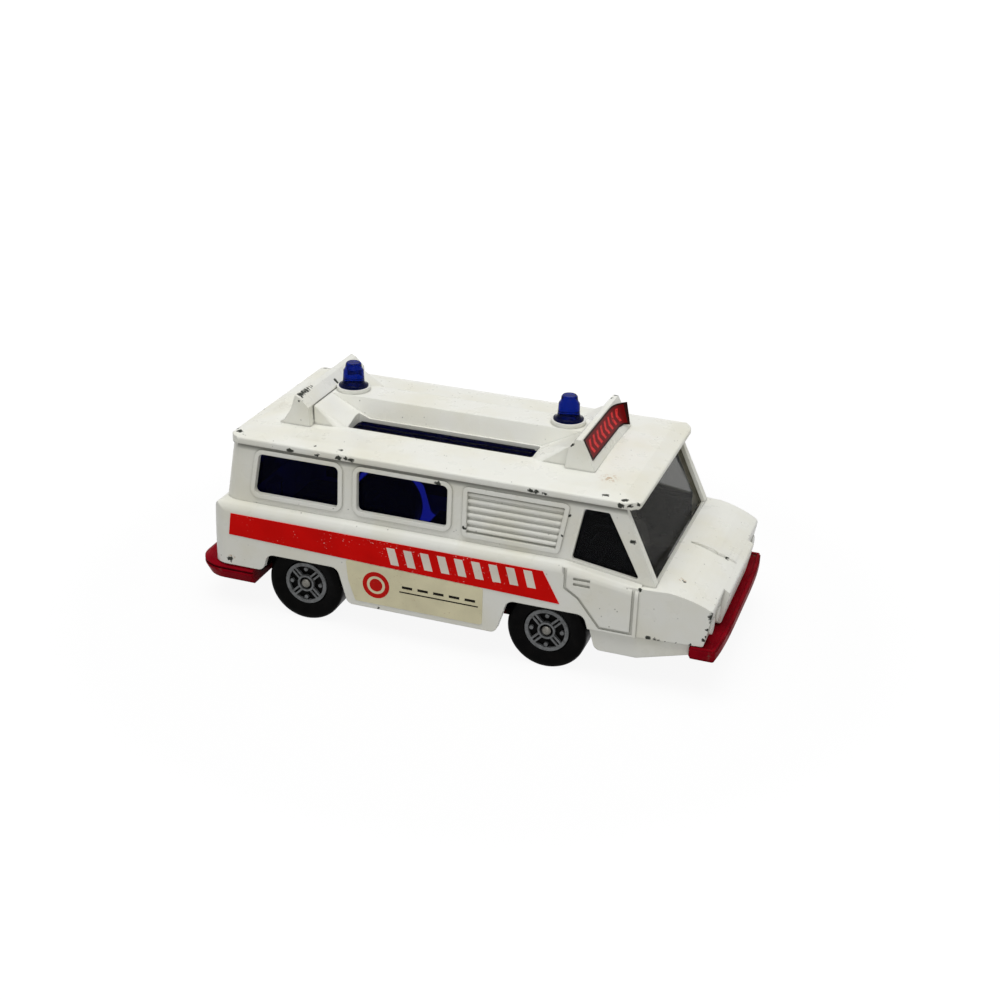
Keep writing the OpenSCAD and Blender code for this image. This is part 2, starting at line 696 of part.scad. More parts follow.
module body_shell() {
    color("#E6E5DE") difference() {
        union() {
            difference() {
                union() {
                    difference() {
                        lower_form(0);
                        translate([-total_l, -body_w, -over])
                            cube([total_l + rear_axle_x, 2 * body_w, skirt_z + over]);
                        translate([-rear_axle_back, -body_w, -over])
                            cube([total_l, 2 * body_w, sill_z + over]);
                        translate([front_axle_x, -body_w, -over]) cube([total_l, 2 * body_w, nose_z + over]);
                    }
                    cabin_form(0, eave_z + over);
                    nose_form(0, nose_z);
                    grille_block();
                    valance_form(0);
                    on_cabin_side() {
                        rim() rear_pane_outline();
                        rim() mid_pane_outline();
                        rim() offset(delta = -rim_w) louvre_outline();
                    }
                    on_cabin_rear() rim() rear_window_outline();
                    tail_lamps();
                    bonnet_crease();
                }
                lower_form(wall);
                cabin_form(cabin_wall, eave_z);
                nose_form(wall, nose_z - wall - over);
                valance_form(wall);
                wheel_wells();
                door_lines();
                handle_recess();
                rear_door_lines();
                on_cabin_side() translate([0, 0, -cabin_wall - over])
                    linear_extrude(cabin_wall + 2 * shoulder_r) {
                        rear_pane_outline();
                        mid_pane_outline();
                        door_pane_outline();
                    }
                on_cabin_side() translate([0, 0, -louvre_depth]) linear_extrude(louvre_depth + over)
                    offset(delta = -rim_w) louvre_outline();
                on_cabin_rear() translate([0, 0, -cabin_wall - over]) linear_extrude(cabin_wall + 2 * over)
                    rear_window_outline();
                on_screen() translate([0, 0, -cabin_wall - over]) linear_extrude(cabin_wall + 2 * over)
                    translate([-cabin_top_w / 2 + pillar_w, 0])
                    square([cabin_top_w - 2 * pillar_w, screen_l]);
            }
            on_cabin_side() louvre_slats();
            front_lamps();
            posts();
            roof_form();
            spine();
            ramps();
            wing();
            sign_housing();
        }
        roof_slots();
        for (x = [-beacon_back, beacon_front_x])
            translate([x, 0, eave_z - over]) cylinder(r = shank_r, h = seat_z);
    }
}

// Front bumper in plan: straight in the middle, curving back at its ends
module front_bumper_plan(inset) {
    steps = 10;
    offset(delta = -inset) rounded(wall / 2) polygon(concat(
        [for (i = [-steps:steps]) let (share = i / steps)
            [bumper_front_x - bumper_bow * pow(share, 4), bumper_w / 2 * share]],
        [[valance_front_x, bumper_w / 2], [valance_front_x, -bumper_w / 2]]));
}

// Front bumper: a shelf with a raised lip along its edge
module front_bumper() {
    shelf_h = bumper_h - line_d;
    translate([0, 0, bumper_z]) {
        linear_extrude(line_d) front_bumper_plan(line_d / 2);
        translate([0, 0, line_d]) linear_extrude(shelf_h - line_d) front_bumper_plan(0);
        translate([0, 0, shelf_h]) linear_extrude(line_d) difference() {
            front_bumper_plan(line_d / 2);
            front_bumper_plan(2 * line_d);
        }
    }
}

module rear_bumper_plan(inset) {
    half_w = (body_w + line_w) / 2;
    side_l = rear_bumper_l + rear_bumper_r;
    offset(delta = -inset) rounded(rear_bumper_r)
        translate([-bumper_back, -half_w]) square([side_l, 2 * half_w]);
}

// Rear bumper: a band that draws in below, a groove and a sloping ledge under the body
module rear_bumper() {
    end_x = rear_bumper_l - bumper_back;
    h = skirt_z - fit_gap - rear_bumper_z;
    band_h = h * 2 / 3;
    difference() {
        intersection() {
            union() {
                translate([0, 0, rear_bumper_z]) hull() {
                    linear_extrude(line_d) rear_bumper_plan(2 * line_w);
                    translate([0, 0, band_h - line_d]) linear_extrude(line_d) rear_bumper_plan(0);
                }
                translate([0, 0, rear_bumper_z + band_h]) linear_extrude(line_d) rear_bumper_plan(line_d);
                translate([0, 0, rear_bumper_z + band_h + line_d]) hull() {
                    linear_extrude(line_d / 2) rear_bumper_plan(0);
                    linear_extrude(h - band_h - line_d) rear_bumper_plan(2 * line_w);
                }
            }
            translate([-total_l, -body_w, 0]) cube([total_l + end_x, 2 * body_w, roof_z]);
        }
        translate([0, 0, base_top]) linear_extrude(h) rear_bumper_plan(bumper_back - body_back + wall);
    }
}

// Floor between the sills, cut back round the wheels
module floor_plan() {
    half_w = body_w / 2 - wall - fit_gap;
    rear_x = rear_bumper_l - bumper_back - wall;
    difference() {
        translate([rear_x, -half_w]) square([deck_x - rear_x, 2 * half_w]);
        for (x = [rear_axle_x, front_axle_x], side = [-1, 1])
            translate([x, side * body_w / 2]) square([arch_foot_l + 3 * wall, 2 * well_w], center = true);
    }
}

// Raised deck under the nose, with the riser that joins it to the floor
module front_deck() {
    half_w = nose_front_w / 2 - valance_inset - wall - fit_gap;
    riser_w = body_w - 2 * well_w;
    translate([deck_x - base_t, -half_w, deck_z])
        cube([valance_front_x + wall - deck_x + base_t, 2 * half_w, base_t]);
    translate([deck_x - base_t, -riser_w / 2, base_z]) cube([base_t, riser_w, deck_z - base_z + base_t]);
}

// Bearer block that carries an axle through the base
module axle_bearer(x) {
    half_y = wheel_face_y - tyre_w - wheel_room - line_w;
    translate([x, 0, 0]) along(-2 * axle_r, 2 * axle_r)
        translate([-half_y, base_z]) square([2 * half_y, tyre_r + 2 * axle_r - base_z]);
}

module baseplate() {
    color("#A3182B") difference() {
        union() {
            translate([0, 0, base_z]) linear_extrude(base_t) floor_plan();
            front_deck();
            front_bumper();
            rear_bumper();
            axle_bearer(rear_axle_x);
            axle_bearer(front_axle_x);
        }
        for (x = [rear_axle_x, front_axle_x])
            translate([x, 0, tyre_r]) rotate([90, 0, 0]) cylinder(r = axle_r, h = body_w, center = true);
        for (post = [[post_rear_x, base_z], [post_front_x, deck_z]])
            translate([post[0], 0, post[1] - base_t]) {
                cylinder(r = shank_r, h = 3 * base_t);
                cylinder(r = post_r, h = base_t);
            }
    }
}

// Tinted moulding: a ceiling panel under the roof, side panes, a rear pane and ribbed roof windows
module glazing() {
    gap = cabin_wall + fit_gap;
    rib_pitch = (slot_w - 2 * fit_gap) / slot_ribs;
    plate_z = roof_z - slot_sink - rib_pitch / 3;
    color("#141A52") {
        difference() {
            intersection() {
                cabin_form(gap, eave_z);
                translate([-total_l, -body_w, waist_z - shoulder_r])
                    cube([total_l + door_pane_x + door_pane_l, 2 * body_w, eave_z]);
            }
            difference() {
                cabin_form(gap + glass_t, eave_z);
                translate([-total_l, -body_w, eave_z - glass_t - over])
                    cube([2 * total_l, 2 * body_w, roof_z]);
            }
            on_screen() translate([-body_w, -body_w, -cabin_wall - 2 * glass_t])
                cube([2 * body_w, 3 * body_w, body_w]);
            for (x = [-beacon_back, beacon_front_x])
                translate([x, 0, eave_z - 2 * glass_t]) cylinder(r = shank_r + wall, h = 3 * glass_t);
        }
        both_sides() translate([-slot_back + fit_gap, -slot_in - slot_w + fit_gap, eave_z - glass_t])
            linear_extrude(plate_z - eave_z + glass_t) rounded(pane_r / 2)
            square([slot_l - 2 * fit_gap, slot_w - 2 * fit_gap]);
        both_sides() for (i = [0:slot_ribs - 1])
            translate([-slot_back + pane_r, -slot_in - slot_w + fit_gap + rib_pitch * (i + 1 / 2), plate_z])
                rotate([0, 90, 0]) cylinder(r = rib_pitch / 3, h = slot_l - 2 * pane_r, $fn = 16);
    }
}

// Flat smoky screen behind the pillars
module windscreen() {
    half_w = cabin_top_w / 2 - cabin_wall - fit_gap;
    color("#55565A") on_screen() translate([-half_w, 0, -cabin_wall - glass_t])
        cube([2 * half_w, screen_l - cabin_wall, glass_t]);
}

// Beacon: foot, tapered drum, shoulder and domed cap over a plain stub
module beacon() {
    foot_h = beacon_h / 10;
    drum_z = beacon_h * 2 / 3;
    color("#1B2FA8") translate([0, 0, seat_z]) rotate_extrude() polygon([
        [0, -base_t], [shank_r, -base_t], [shank_r, 0], [beacon_foot_r, 0], [beacon_foot_r, foot_h / 2],
        [beacon_r + line_w / 2, foot_h], [beacon_r, foot_h * 2], [beacon_r - fit_gap, drum_z],
        [beacon_cap_r + fit_gap, drum_z + foot_h], [beacon_cap_r, beacon_h - foot_h / 2],
        [beacon_cap_r - line_w / 2, beacon_h], [0, beacon_h]]);
}

module beacon_front() {
    translate([beacon_front_x, 0, 0]) beacon();
}

module beacon_rear() {
    translate([-beacon_back, 0, 0]) beacon();
}

// Axle wire, spun over at both ends into a small dome that keeps the wheel on
module axle(x) {
    head_y = wheel_face_y - line_w;
    head_r = axle_r * 4 / 3;
    color("#6B6A68") translate([x, 0, tyre_r]) {
        rotate([90, 0, 0]) cylinder(r = axle_r, h = 2 * head_y, center = true);
        both_sides() translate([0, -head_y, 0]) rotate([90, 0, 0]) rotate_extrude() polygon([
            [0, 0], [head_r, 0], [head_r, line_w / 2], [axle_r, line_w], [axle_r / 2, line_w * 5 / 4],
            [0, line_w * 4 / 3]]);
    }
}

module axle_front() {
    axle(front_axle_x);
}

module axle_rear() {
    axle(rear_axle_x);
}

// Places a wheel piece, modelled about +Z with its face at Z = 0, on one end of an axle
module at_wheel(x, side) {
    translate([x, side * wheel_face_y, tyre_r]) rotate([-90 * side, 0, 0]) children();
}

// Black wheel: rounded tyre, dished face, web and a hub boss bored for the axle
module wheel(x, side) {
    dish = 2 * line_w;
    edge = tyre_w / 8;
    color("#161616") at_wheel(x, side) rotate_extrude($fn = 48) polygon([
        [axle_r + axle_gap, -tyre_w], [2 * axle_r + axle_gap + wall, -tyre_w],
        [2 * axle_r + axle_gap + wall, -tyre_w / 2], [tyre_r - 2 * wall, -tyre_w / 2],
        [tyre_r - 2 * wall, -tyre_w + edge], [tyre_r - wall, -tyre_w], [tyre_r - edge, -tyre_w + edge / 4],
        [tyre_r, -tyre_w + edge], [tyre_r, -edge], [tyre_r - edge / 3, -edge / 3], [tyre_r - edge, -edge / 8],
        [tyre_r - 2 * edge, 0], [hub_r + line_w, -line_d], [hub_r + line_w / 2, -line_w], [hub_r, -dish],
        [axle_r + axle_gap, -dish]]);
}

// Plated hub face: outer ring, boss ring, four split spokes and a nub in each window between them
module hub(x, side) {
    dish = 2 * line_w;
    face_h = dish - line_d;
    ring_w = hub_r / 6;
    bore_r = 2 * axle_r;
    boss_r = bore_r + line_d;
    rib_w = line_w * 4 / 5;
    nub_at = (boss_r + hub_r) / 2;
    color("#8E9092") at_wheel(x, side) translate([0, 0, -dish]) {
        difference() {
            cylinder(r = hub_r, h = face_h, $fn = 48);
            translate([0, 0, -over]) cylinder(r = hub_r - ring_w, h = dish + over, $fn = 48);
        }
        difference() {
            cylinder(r = boss_r, h = face_h + line_w / 3);
            translate([0, 0, -over]) cylinder(r = bore_r, h = dish + 2 * over);
        }
        for (i = [0:3]) rotate(90 * i) {
            for (y = [-rib_w * 3 / 2, rib_w / 2]) rotate(45) translate([bore_r + line_d / 2, y, 0])
                cube([hub_r - ring_w / 2 - bore_r - line_d / 2, rib_w, face_h]);
            translate([nub_at, 0, 0]) cylinder(r = rib_w, h = face_h, $fn = 16);
            translate([nub_at, -rib_w / 3, 0])
                cube([hub_r - ring_w / 2 - nub_at, rib_w * 2 / 3, face_h * 2 / 3]);
        }
    }
}

module wheel_front_right() {
    wheel(front_axle_x, -1);
}

module wheel_front_left() {
    wheel(front_axle_x, 1);
}

module wheel_rear_right() {
    wheel(rear_axle_x, -1);
}

module wheel_rear_left() {
    wheel(rear_axle_x, 1);
}

module hub_front_right() {
    hub(front_axle_x, -1);
}

module hub_front_left() {
    hub(front_axle_x, 1);
}

module hub_rear_right() {
    hub(rear_axle_x, -1);
}

module hub_rear_left() {
    hub(rear_axle_x, 1);
}

// Stripe transfer that deepens towards the front and ends in a slant
module stripe() {
    color("#C8140F") on_body_side() linear_extrude(paper_t) polygon([
        [-stripe_back, stripe_z - stripe_back_h], [stripe_front_x, stripe_z - stripe_front_h],
        [stripe_front_x - stripe_lean, stripe_z], [-stripe_back + line_w, stripe_z]]);
}

module stripe_right() {
    stripe();
}

module stripe_left() {
    mirror([0, 1, 0]) stripe();
}

// Side label under the stripe, its rear end following the wheel arch
module panel_label() {
    front_x = panel_l - panel_back;
    stripe_l = stripe_back + stripe_front_x;
    slope = (stripe_front_h - stripe_back_h) / stripe_l;
    back_z = stripe_z - stripe_back_h - slope * (stripe_back - panel_back) - fit_gap;
    front_z = back_z - slope * panel_l;
    color("#D8CDAA") on_body_side() linear_extrude(paper_t) rounded(line_w) polygon([
        [-panel_back, back_z], [-panel_back + line_w, (back_z + panel_z) / 2],
        [-panel_back + 3 / 2 * wall, panel_z], [front_x, panel_z], [front_x, front_z]]);
}

module panel_label_right() {
    panel_label();
}

module panel_label_left() {
    mirror([0, 1, 0]) panel_label();
}

// Paper sign label: flat on its housing, its left end lifting forward in a curve
module sign_label() {
    steps = 16;
    head_x = (sign_back_x + sign_front_x) / 2;
    lean = atan((sign_front_x - head_x) / (sign_z - roof_z));
    right_y = -sign_w / 2 + 2 * line_w;
    left_y = sign_w / 2 - sign_curl - line_w;
    face_l = (sign_z - roof_z) / cos(lean);
    inner = [for (i = [0:steps]) let (share = i / steps) [left_y * share, sign_curl * pow(share, 8)]];
    outer = [for (i = [steps:-1:0]) inner[i] + [0, paper_t]];
    color("#8F1014") translate([sign_front_x, 0, roof_z]) rotate([0, -lean, 0])
        translate([0, 0, face_l - sign_label_h - line_w / 2]) linear_extrude(sign_label_h)
        rotate(-90) mirror([1, 0]) polygon(concat([[right_y, 0]], inner, outer, [[right_y, paper_t]]));
}

body_shell();
baseplate();
glazing();
windscreen();
beacon_front();
beacon_rear();
axle_front();
axle_rear();
wheel_front_right();
wheel_front_left();
wheel_rear_right();
wheel_rear_left();
hub_front_right();
hub_front_left();
hub_rear_right();
hub_rear_left();
stripe_right();
stripe_left();
panel_label_right();
panel_label_left();
sign_label();
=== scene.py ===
import json
import math

import bmesh
import bpy
from mathutils import Matrix, Vector

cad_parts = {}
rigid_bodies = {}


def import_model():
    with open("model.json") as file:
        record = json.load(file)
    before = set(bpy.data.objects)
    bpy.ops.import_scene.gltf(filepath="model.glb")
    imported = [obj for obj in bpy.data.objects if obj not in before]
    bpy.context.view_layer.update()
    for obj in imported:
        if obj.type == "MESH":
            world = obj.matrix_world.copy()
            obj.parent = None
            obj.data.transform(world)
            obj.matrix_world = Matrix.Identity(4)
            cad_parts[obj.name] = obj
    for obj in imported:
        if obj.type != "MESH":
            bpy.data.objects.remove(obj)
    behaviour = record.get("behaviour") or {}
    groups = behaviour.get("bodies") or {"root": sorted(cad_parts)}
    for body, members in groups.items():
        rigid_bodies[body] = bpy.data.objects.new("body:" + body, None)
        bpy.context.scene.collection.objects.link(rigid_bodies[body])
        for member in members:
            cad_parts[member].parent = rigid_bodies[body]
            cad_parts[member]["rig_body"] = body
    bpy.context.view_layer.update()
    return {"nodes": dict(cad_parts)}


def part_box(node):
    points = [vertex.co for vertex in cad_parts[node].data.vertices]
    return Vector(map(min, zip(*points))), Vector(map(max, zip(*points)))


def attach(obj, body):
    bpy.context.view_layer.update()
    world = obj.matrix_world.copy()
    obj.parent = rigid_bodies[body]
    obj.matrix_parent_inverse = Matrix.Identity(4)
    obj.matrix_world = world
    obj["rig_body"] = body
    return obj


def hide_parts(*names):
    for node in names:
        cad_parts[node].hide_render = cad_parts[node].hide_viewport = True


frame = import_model()
mm = 0.001
scene = bpy.context.scene
scene.view_settings.view_transform = "Standard"


# camera: the angle, roll, place and lens of the photograph, lengths in millimetres
viewing = {"azimuth": 18.412, "elevation": 24.399, "roll": 2.04, "place": (85.18, -247.76, 138.84),
           "lens": 57.749, "sensor": 36.0, "nearest": 10.0}

azimuth, elevation, roll = (math.radians(viewing[k]) for k in ("azimuth", "elevation", "roll"))
backward = Vector((math.sin(azimuth) * math.cos(elevation), -math.cos(azimuth) * math.cos(elevation),
                   math.sin(elevation)))
level = Vector((math.cos(azimuth), math.sin(azimuth), 0))
upright = backward.cross(level)
rightward = level * math.cos(roll) + upright * math.sin(roll)
upward = upright * math.cos(roll) - level * math.sin(roll)
cameraData = bpy.data.cameras.new("camera")
cameraData.lens = viewing["lens"]
cameraData.sensor_width = viewing["sensor"]
cameraData.clip_start = viewing["nearest"] * mm
camera = bpy.data.objects.new("camera", cameraData)
turn = Matrix((rightward, upward, backward)).transposed().to_4x4()
camera.matrix_world = Matrix.Translation(Vector(viewing["place"]) * mm) @ turn
scene.collection.objects.link(camera)
scene.camera = camera
print("camera set")


# hex text in screen colours to linear light
def linearColour(hexText):
    parts = [int(hexText[i:i + 2], 16) / 255 for i in (1, 3, 5)]
    return tuple(c / 12.92 if c <= 0.04045 else ((c + 0.055) / 1.055) ** 2.4 for c in parts) + (1.0,)


# adds a node; a tuple (node, output) in inputs is a link, anything else is a value
def addNode(tree, kind, inputs=None, **settings):
    node = tree.nodes.new(kind)
    for key, value in settings.items():
        setattr(node, key, value)
    for key, value in (inputs or {}).items():
        if isinstance(value, tuple) and len(value) == 2 and isinstance(value[0], bpy.types.Node):
            tree.links.new(value[0].outputs[value[1]], node.inputs[key])
        else:
            node.inputs[key].default_value = value
    return node


def link(tree, source, output, target, socket):
    tree.links.new(source.outputs[output], target.inputs[socket])


def newMaterial(name, sockets):
    material = bpy.data.materials.new(name)
    material.use_nodes = True
    shader = material.node_tree.nodes["Principled BSDF"]
    for key, value in sockets.items():
        shader.inputs[key].default_value = value
    return material, material.node_tree, shader


def objectCoords(tree):
    return addNode(tree, "ShaderNodeTexCoord"), 3


def maths(tree, operation, first, second=0.0, third=0.0, clamp=False):
    return addNode(tree, "ShaderNodeMath", {0: first, 1: second, 2: third}, operation=operation,
                   use_clamp=clamp)


def remap(tree, value, source=(0.0, 1.0), target=(0.0, 1.0)):
    return addNode(tree, "ShaderNodeMapRange", {"Value": value, "From Min": source[0], "From Max": source[1],
                   "To Min": target[0], "To Max": target[1]})


# a colour is hex text, four linear values or a link
def mixColour(tree, factor, first, second):
    first, second = (linearColour(c) if isinstance(c, str) else c for c in (first, second))
    return addNode(tree, "ShaderNodeMix", {0: factor, 6: first, 7: second}, data_type="RGBA")


# noise mask between two edges, at a grain size in millimetres
def grainMask(tree, coords, grain, low, high, detail=3.0):
    noise = addNode(tree, "ShaderNodeTexNoise", {"Vector": coords, "Scale": 1 / (grain * mm),
                    "Detail": detail})
    return remap(tree, (noise, 0), (low, high))


# painted shade in the corners, found by occlusion: its reach in millimetres, the openness where it starts and
# where it is full, its most
def hollowShade(tree, reach, starts, full, most, rays=6):
    hollow = addNode(tree, "ShaderNodeAmbientOcclusion", {"Distance": reach * mm}, samples=rays,
                     only_local=True)
    return remap(tree, (hollow, 1), (starts, full), (0.0, most))


# a mask of soft spots (x, y, z, reach) in millimetres, drawn out along X by the stretch
def spotMask(tree, coords, spots, fade, stretch=1.0):
    total = None
    squeeze = (1 / stretch, 1.0, 1.0)
    drawn = addNode(tree, "ShaderNodeVectorMath", {0: coords, 1: squeeze}, operation="MULTIPLY")
    for x, y, z, reach in spots:
        middle = (x * mm / stretch, y * mm, z * mm)
        away = addNode(tree, "ShaderNodeVectorMath", {0: (drawn, 0), 1: middle}, operation="DISTANCE")
        spot = remap(tree, (away, 1), (reach * mm, reach * mm * (1 - fade)))
        total = spot if total is None else maths(tree, "MAXIMUM", (total, 0), (spot, 0))
    return total


# coordinates shaken by noise, so that the edges of spots are ragged
def shakenCoords(tree, coords, grain, reach):
    noise = addNode(tree, "ShaderNodeTexNoise", {"Vector": coords, "Scale": 1 / (grain * mm)})
    centred = addNode(tree, "ShaderNodeVectorMath", {0: (noise, 1), 1: (0.5, 0.5, 0.5)}, operation="SUBTRACT")
    scaled = addNode(tree, "ShaderNodeVectorMath", {0: (centred, 0), 3: reach * mm}, operation="SCALE")
    return addNode(tree, "ShaderNodeVectorMath", {0: coords, 1: (scaled, 0)}, operation="ADD"), 0


# a mask that is 1 inside a box given by two corners in millimetres
def boxMask(tree, coords, low, high):
    middle = tuple((a + b) / 2 * mm for a, b in zip(low, high))
    moved = addNode(tree, "ShaderNodeVectorMath", {0: coords, 1: middle}, operation="SUBTRACT")
    away = addNode(tree, "ShaderNodeVectorMath", {0: (moved, 0)}, operation="ABSOLUTE")
    sides = addNode(tree, "ShaderNodeSeparateXYZ", {0: (away, 0)})
    within = [maths(tree, "LESS_THAN", (sides, axis), (high[axis] - low[axis]) / 2 * mm) for axis in range(3)]
    flat = maths(tree, "MULTIPLY", (within[0], 0), (within[1], 0))
    return maths(tree, "MULTIPLY", (flat, 0), (within[2], 0))


def roundedEdges(tree, reach, rays=6):
    return addNode(tree, "ShaderNodeBevel", {"Radius": reach * mm}, samples=rays)


# a fine bump of a grain size and depth in millimetres, over another normal where one is given
def grainBump(tree, coords, grain, depth, strength, under=None):
    noise = addNode(tree, "ShaderNodeTexNoise", {"Vector": coords, "Scale": 1 / (grain * mm)})
    bump = addNode(tree, "ShaderNodeBump", {"Strength": strength, "Distance": depth * mm,
                   "Height": (noise, 0)})
    if under is not None:
        link(tree, under, 0, bump, "Normal")
    return bump


# in the finishes, a grain is (size, low edge, high edge), hollows are as in hollowShade (painted shade in the
# corners), a peel or fibre is (size, depth, strength) and a spot is (x, y, z, reach); lengths are in
# millimetres
axlesX = (-26.5, 18.2)  # rear and front axle

# chips in the enamel, along the edges that rub
enamelChips = {
    "roof edge": [
        (-39.4, -17.6, 33.3, 0.5), (-40.6, -16.2, 33.0, 0.35), (-38.4, -18.2, 33.1, 0.25),
        (-24.8, -18.2, 33.2, 0.28), (-24.1, -19.3, 32.0, 0.35), (-29.0, -19.3, 31.9, 0.55),
        (-20.0, -19.3, 32.2, 0.5), (-18.6, -19.3, 32.2, 0.4), (-17.6, -19.3, 32.2, 0.5),
        (-20.0, -18.1, 33.2, 0.38), (14.4, -19.3, 32.2, 0.4), (15.4, -19.3, 32.2, 0.4),
        (16.8, -19.3, 32.1, 0.35), (26.7, -18.1, 33.2, 0.42), (30.0, -18.6, 33.1, 0.45),
        (29.6, -19.3, 32.3, 0.5), (31.1, -19.1, 32.4, 0.45), (32.2, -18.2, 32.5, 0.45)],
    "side": [
        (-1.9, -19.1, 30.5, 0.5), (3.0, -19.4, 23.4, 0.4), (20.9, -18.8, 28.7, 0.34),
        (20.2, -19.3, 25.1, 0.3), (31.9, -18.9, 26.1, 0.48), (-4.0, -20.7, 20.2, 0.2),
        (-40.6, -20.7, 9.7, 0.5), (-12.0, -20.6, 5.7, 0.3)],
    "sign housing": [
        (18.5, -8.9, 37.9, 0.4), (18.6, -10.8, 38.9, 0.6), (18.5, -11.6, 38.3, 0.5),
        (17.7, -1.0, 38.6, 0.3), (19.4, 9.7, 39.1, 0.3), (19.8, 11.4, 39.0, 0.4)],
    "rear wing": [
        (-31.0, -11.0, 39.0, 0.55), (-30.6, -11.7, 38.2, 0.35), (-29.6, 0.9, 37.8, 0.55)],
    "bonnet and nose": [
        (34.0, -20.3, 18.5, 0.3), (40.0, -14.4, 18.4, 0.32), (44.5, -0.6, 17.2, 0.3),
        (46.2, -19.1, 15.3, 0.75), (46.2, -18.9, 14.3, 0.6), (45.5, -19.3, 12.9, 0.35),
        (45.4, -19.3, 11.6, 0.3), (45.1, -19.3, 10.9, 0.35), (42.9, -19.5, 9.7, 0.25),
        (35.9, -20.2, 9.8, 0.4), (37.3, -19.9, 9.5, 0.55), (38.8, -19.8, 9.5, 0.3),
        (40.6, -19.7, 9.5, 0.2)],
    "left and rear": [
        (31.0, 19.2, 32.4, 0.5), (-20.0, 19.3, 32.1, 0.45), (6.0, 19.3, 32.2, 0.4),
        (45.9, 19.1, 15.0, 0.6), (37.3, 19.9, 9.5, 0.5), (-39.4, 17.6, 33.3, 0.45),
        (-41.0, -6.0, 33.0, 0.35), (-41.1, 8.0, 33.0, 0.4), (-44.4, 12.0, 9.0, 0.4)]}
wingRow = {"start": (-30.9, -10.4, 39.1), "step": 0.7, "reaches": (0.5, 0.5, 0.45, 0.45, 0.4, 0.35, 0.3)}
for i, reach in enumerate(wingRow["reaches"]):
    x, y, z = wingRow["start"]
    enamelChips["rear wing"].append((x, y + i * wingRow["step"], z, reach))

enamelWear = {
    "base": "#E9E9E1", "yellowed": "#E4E2D3", "grimeAndShade": "#7E7E76", "chip": "#23261F", "scuff": "#B79A78",
    "shadeTone": "#15130F", "gloss": 0.3, "roughness": (0.24, 0.42), "dulling": (3.0, 0.3, 0.75), "chipRough": 0.3,
    "yellowing": (9.0, 0.42, 0.72), "peel": (0.42, 0.03, 0.35), "edgeRound": 0.22,
    "specks": 1.6, "speckEdge": (0.1, 0.05), "speckPatches": (4.0, 0.44, 0.56), "speckDepth": 0.75,
    "hollows": (0.6, 0.85, 0.38, 0.62), "shake": (0.55, 1.1), "chipFade": 0.3, "chipStretch": 1.5,
    "scuffs": [(25.8, -12.4, 33.8, 2.0), (39.6, -14.1, 18.5, 1.0), (-40.5, -20.7, 10.2, 0.9),
               (12.0, -18.8, 30.9, 0.5)],
    "scuffFade": 0.9, "streaks": (0.5, 0.5, 0.62),
    # eave: where the painted shade line under the eave lies and how dark it is
    "eaveWall": (18.65, 0.3), "eaveFade": (30.5, 31.25), "eaveLip": 31.75, "eaveShade": 0.9,
    # wells and inside: where the casting is painted dark as shade
    "wells": [(x, 0.0, 6.5, 10.2) for x in axlesX], "wellFade": 0.08, "wellSide": 19.4,
    "inside": [((-40.5, -18.6, 0.0), (33.5, 18.6, 19.5)), ((-40.5, -19.6, 9.7), (21.0, 19.6, 20.2)),
               ((20.9, -19.6, 6.0), (27.5, 19.6, 19.2)), ((27.4, -19.6, 6.0), (33.5, 19.6, 18.4))]}


# painted shade: a dark line on the wall in the hollow under the eave
def eaveShadow(tree, fromSide, height):
    wall, depth = (v * mm for v in enamelWear["eaveWall"])
    recess = maths(tree, "COMPARE", fromSide, wall, depth)
    rising = remap(tree, height, [z * mm for z in enamelWear["eaveFade"]], (0.0, enamelWear["eaveShade"]))
    below = maths(tree, "LESS_THAN", height, enamelWear["eaveLip"] * mm)
    hidden = maths(tree, "MULTIPLY", (recess, 0), (below, 0))
    return maths(tree, "MULTIPLY", (hidden, 0), (rising, 0))


# painted shade: the inside of the casting and of its wheel wells drawn dark
def insideShade(tree, coords, fromSide):
    inward = maths(tree, "LESS_THAN", fromSide, enamelWear["wellSide"] * mm)
    across = addNode(tree, "ShaderNodeVectorMath", {0: coords, 1: (1.0, 0.0, 1.0)}, operation="MULTIPLY")
    wells = spotMask(tree, (across, 0), enamelWear["wells"], enamelWear["wellFade"])
    inside = maths(tree, "MULTIPLY", (wells, 0), (inward, 0))
    for low, high in enamelWear["inside"]:
        inside = maths(tree, "MAXIMUM", (inside, 0), (boxMask(tree, coords, low, high), 0))
    return inside
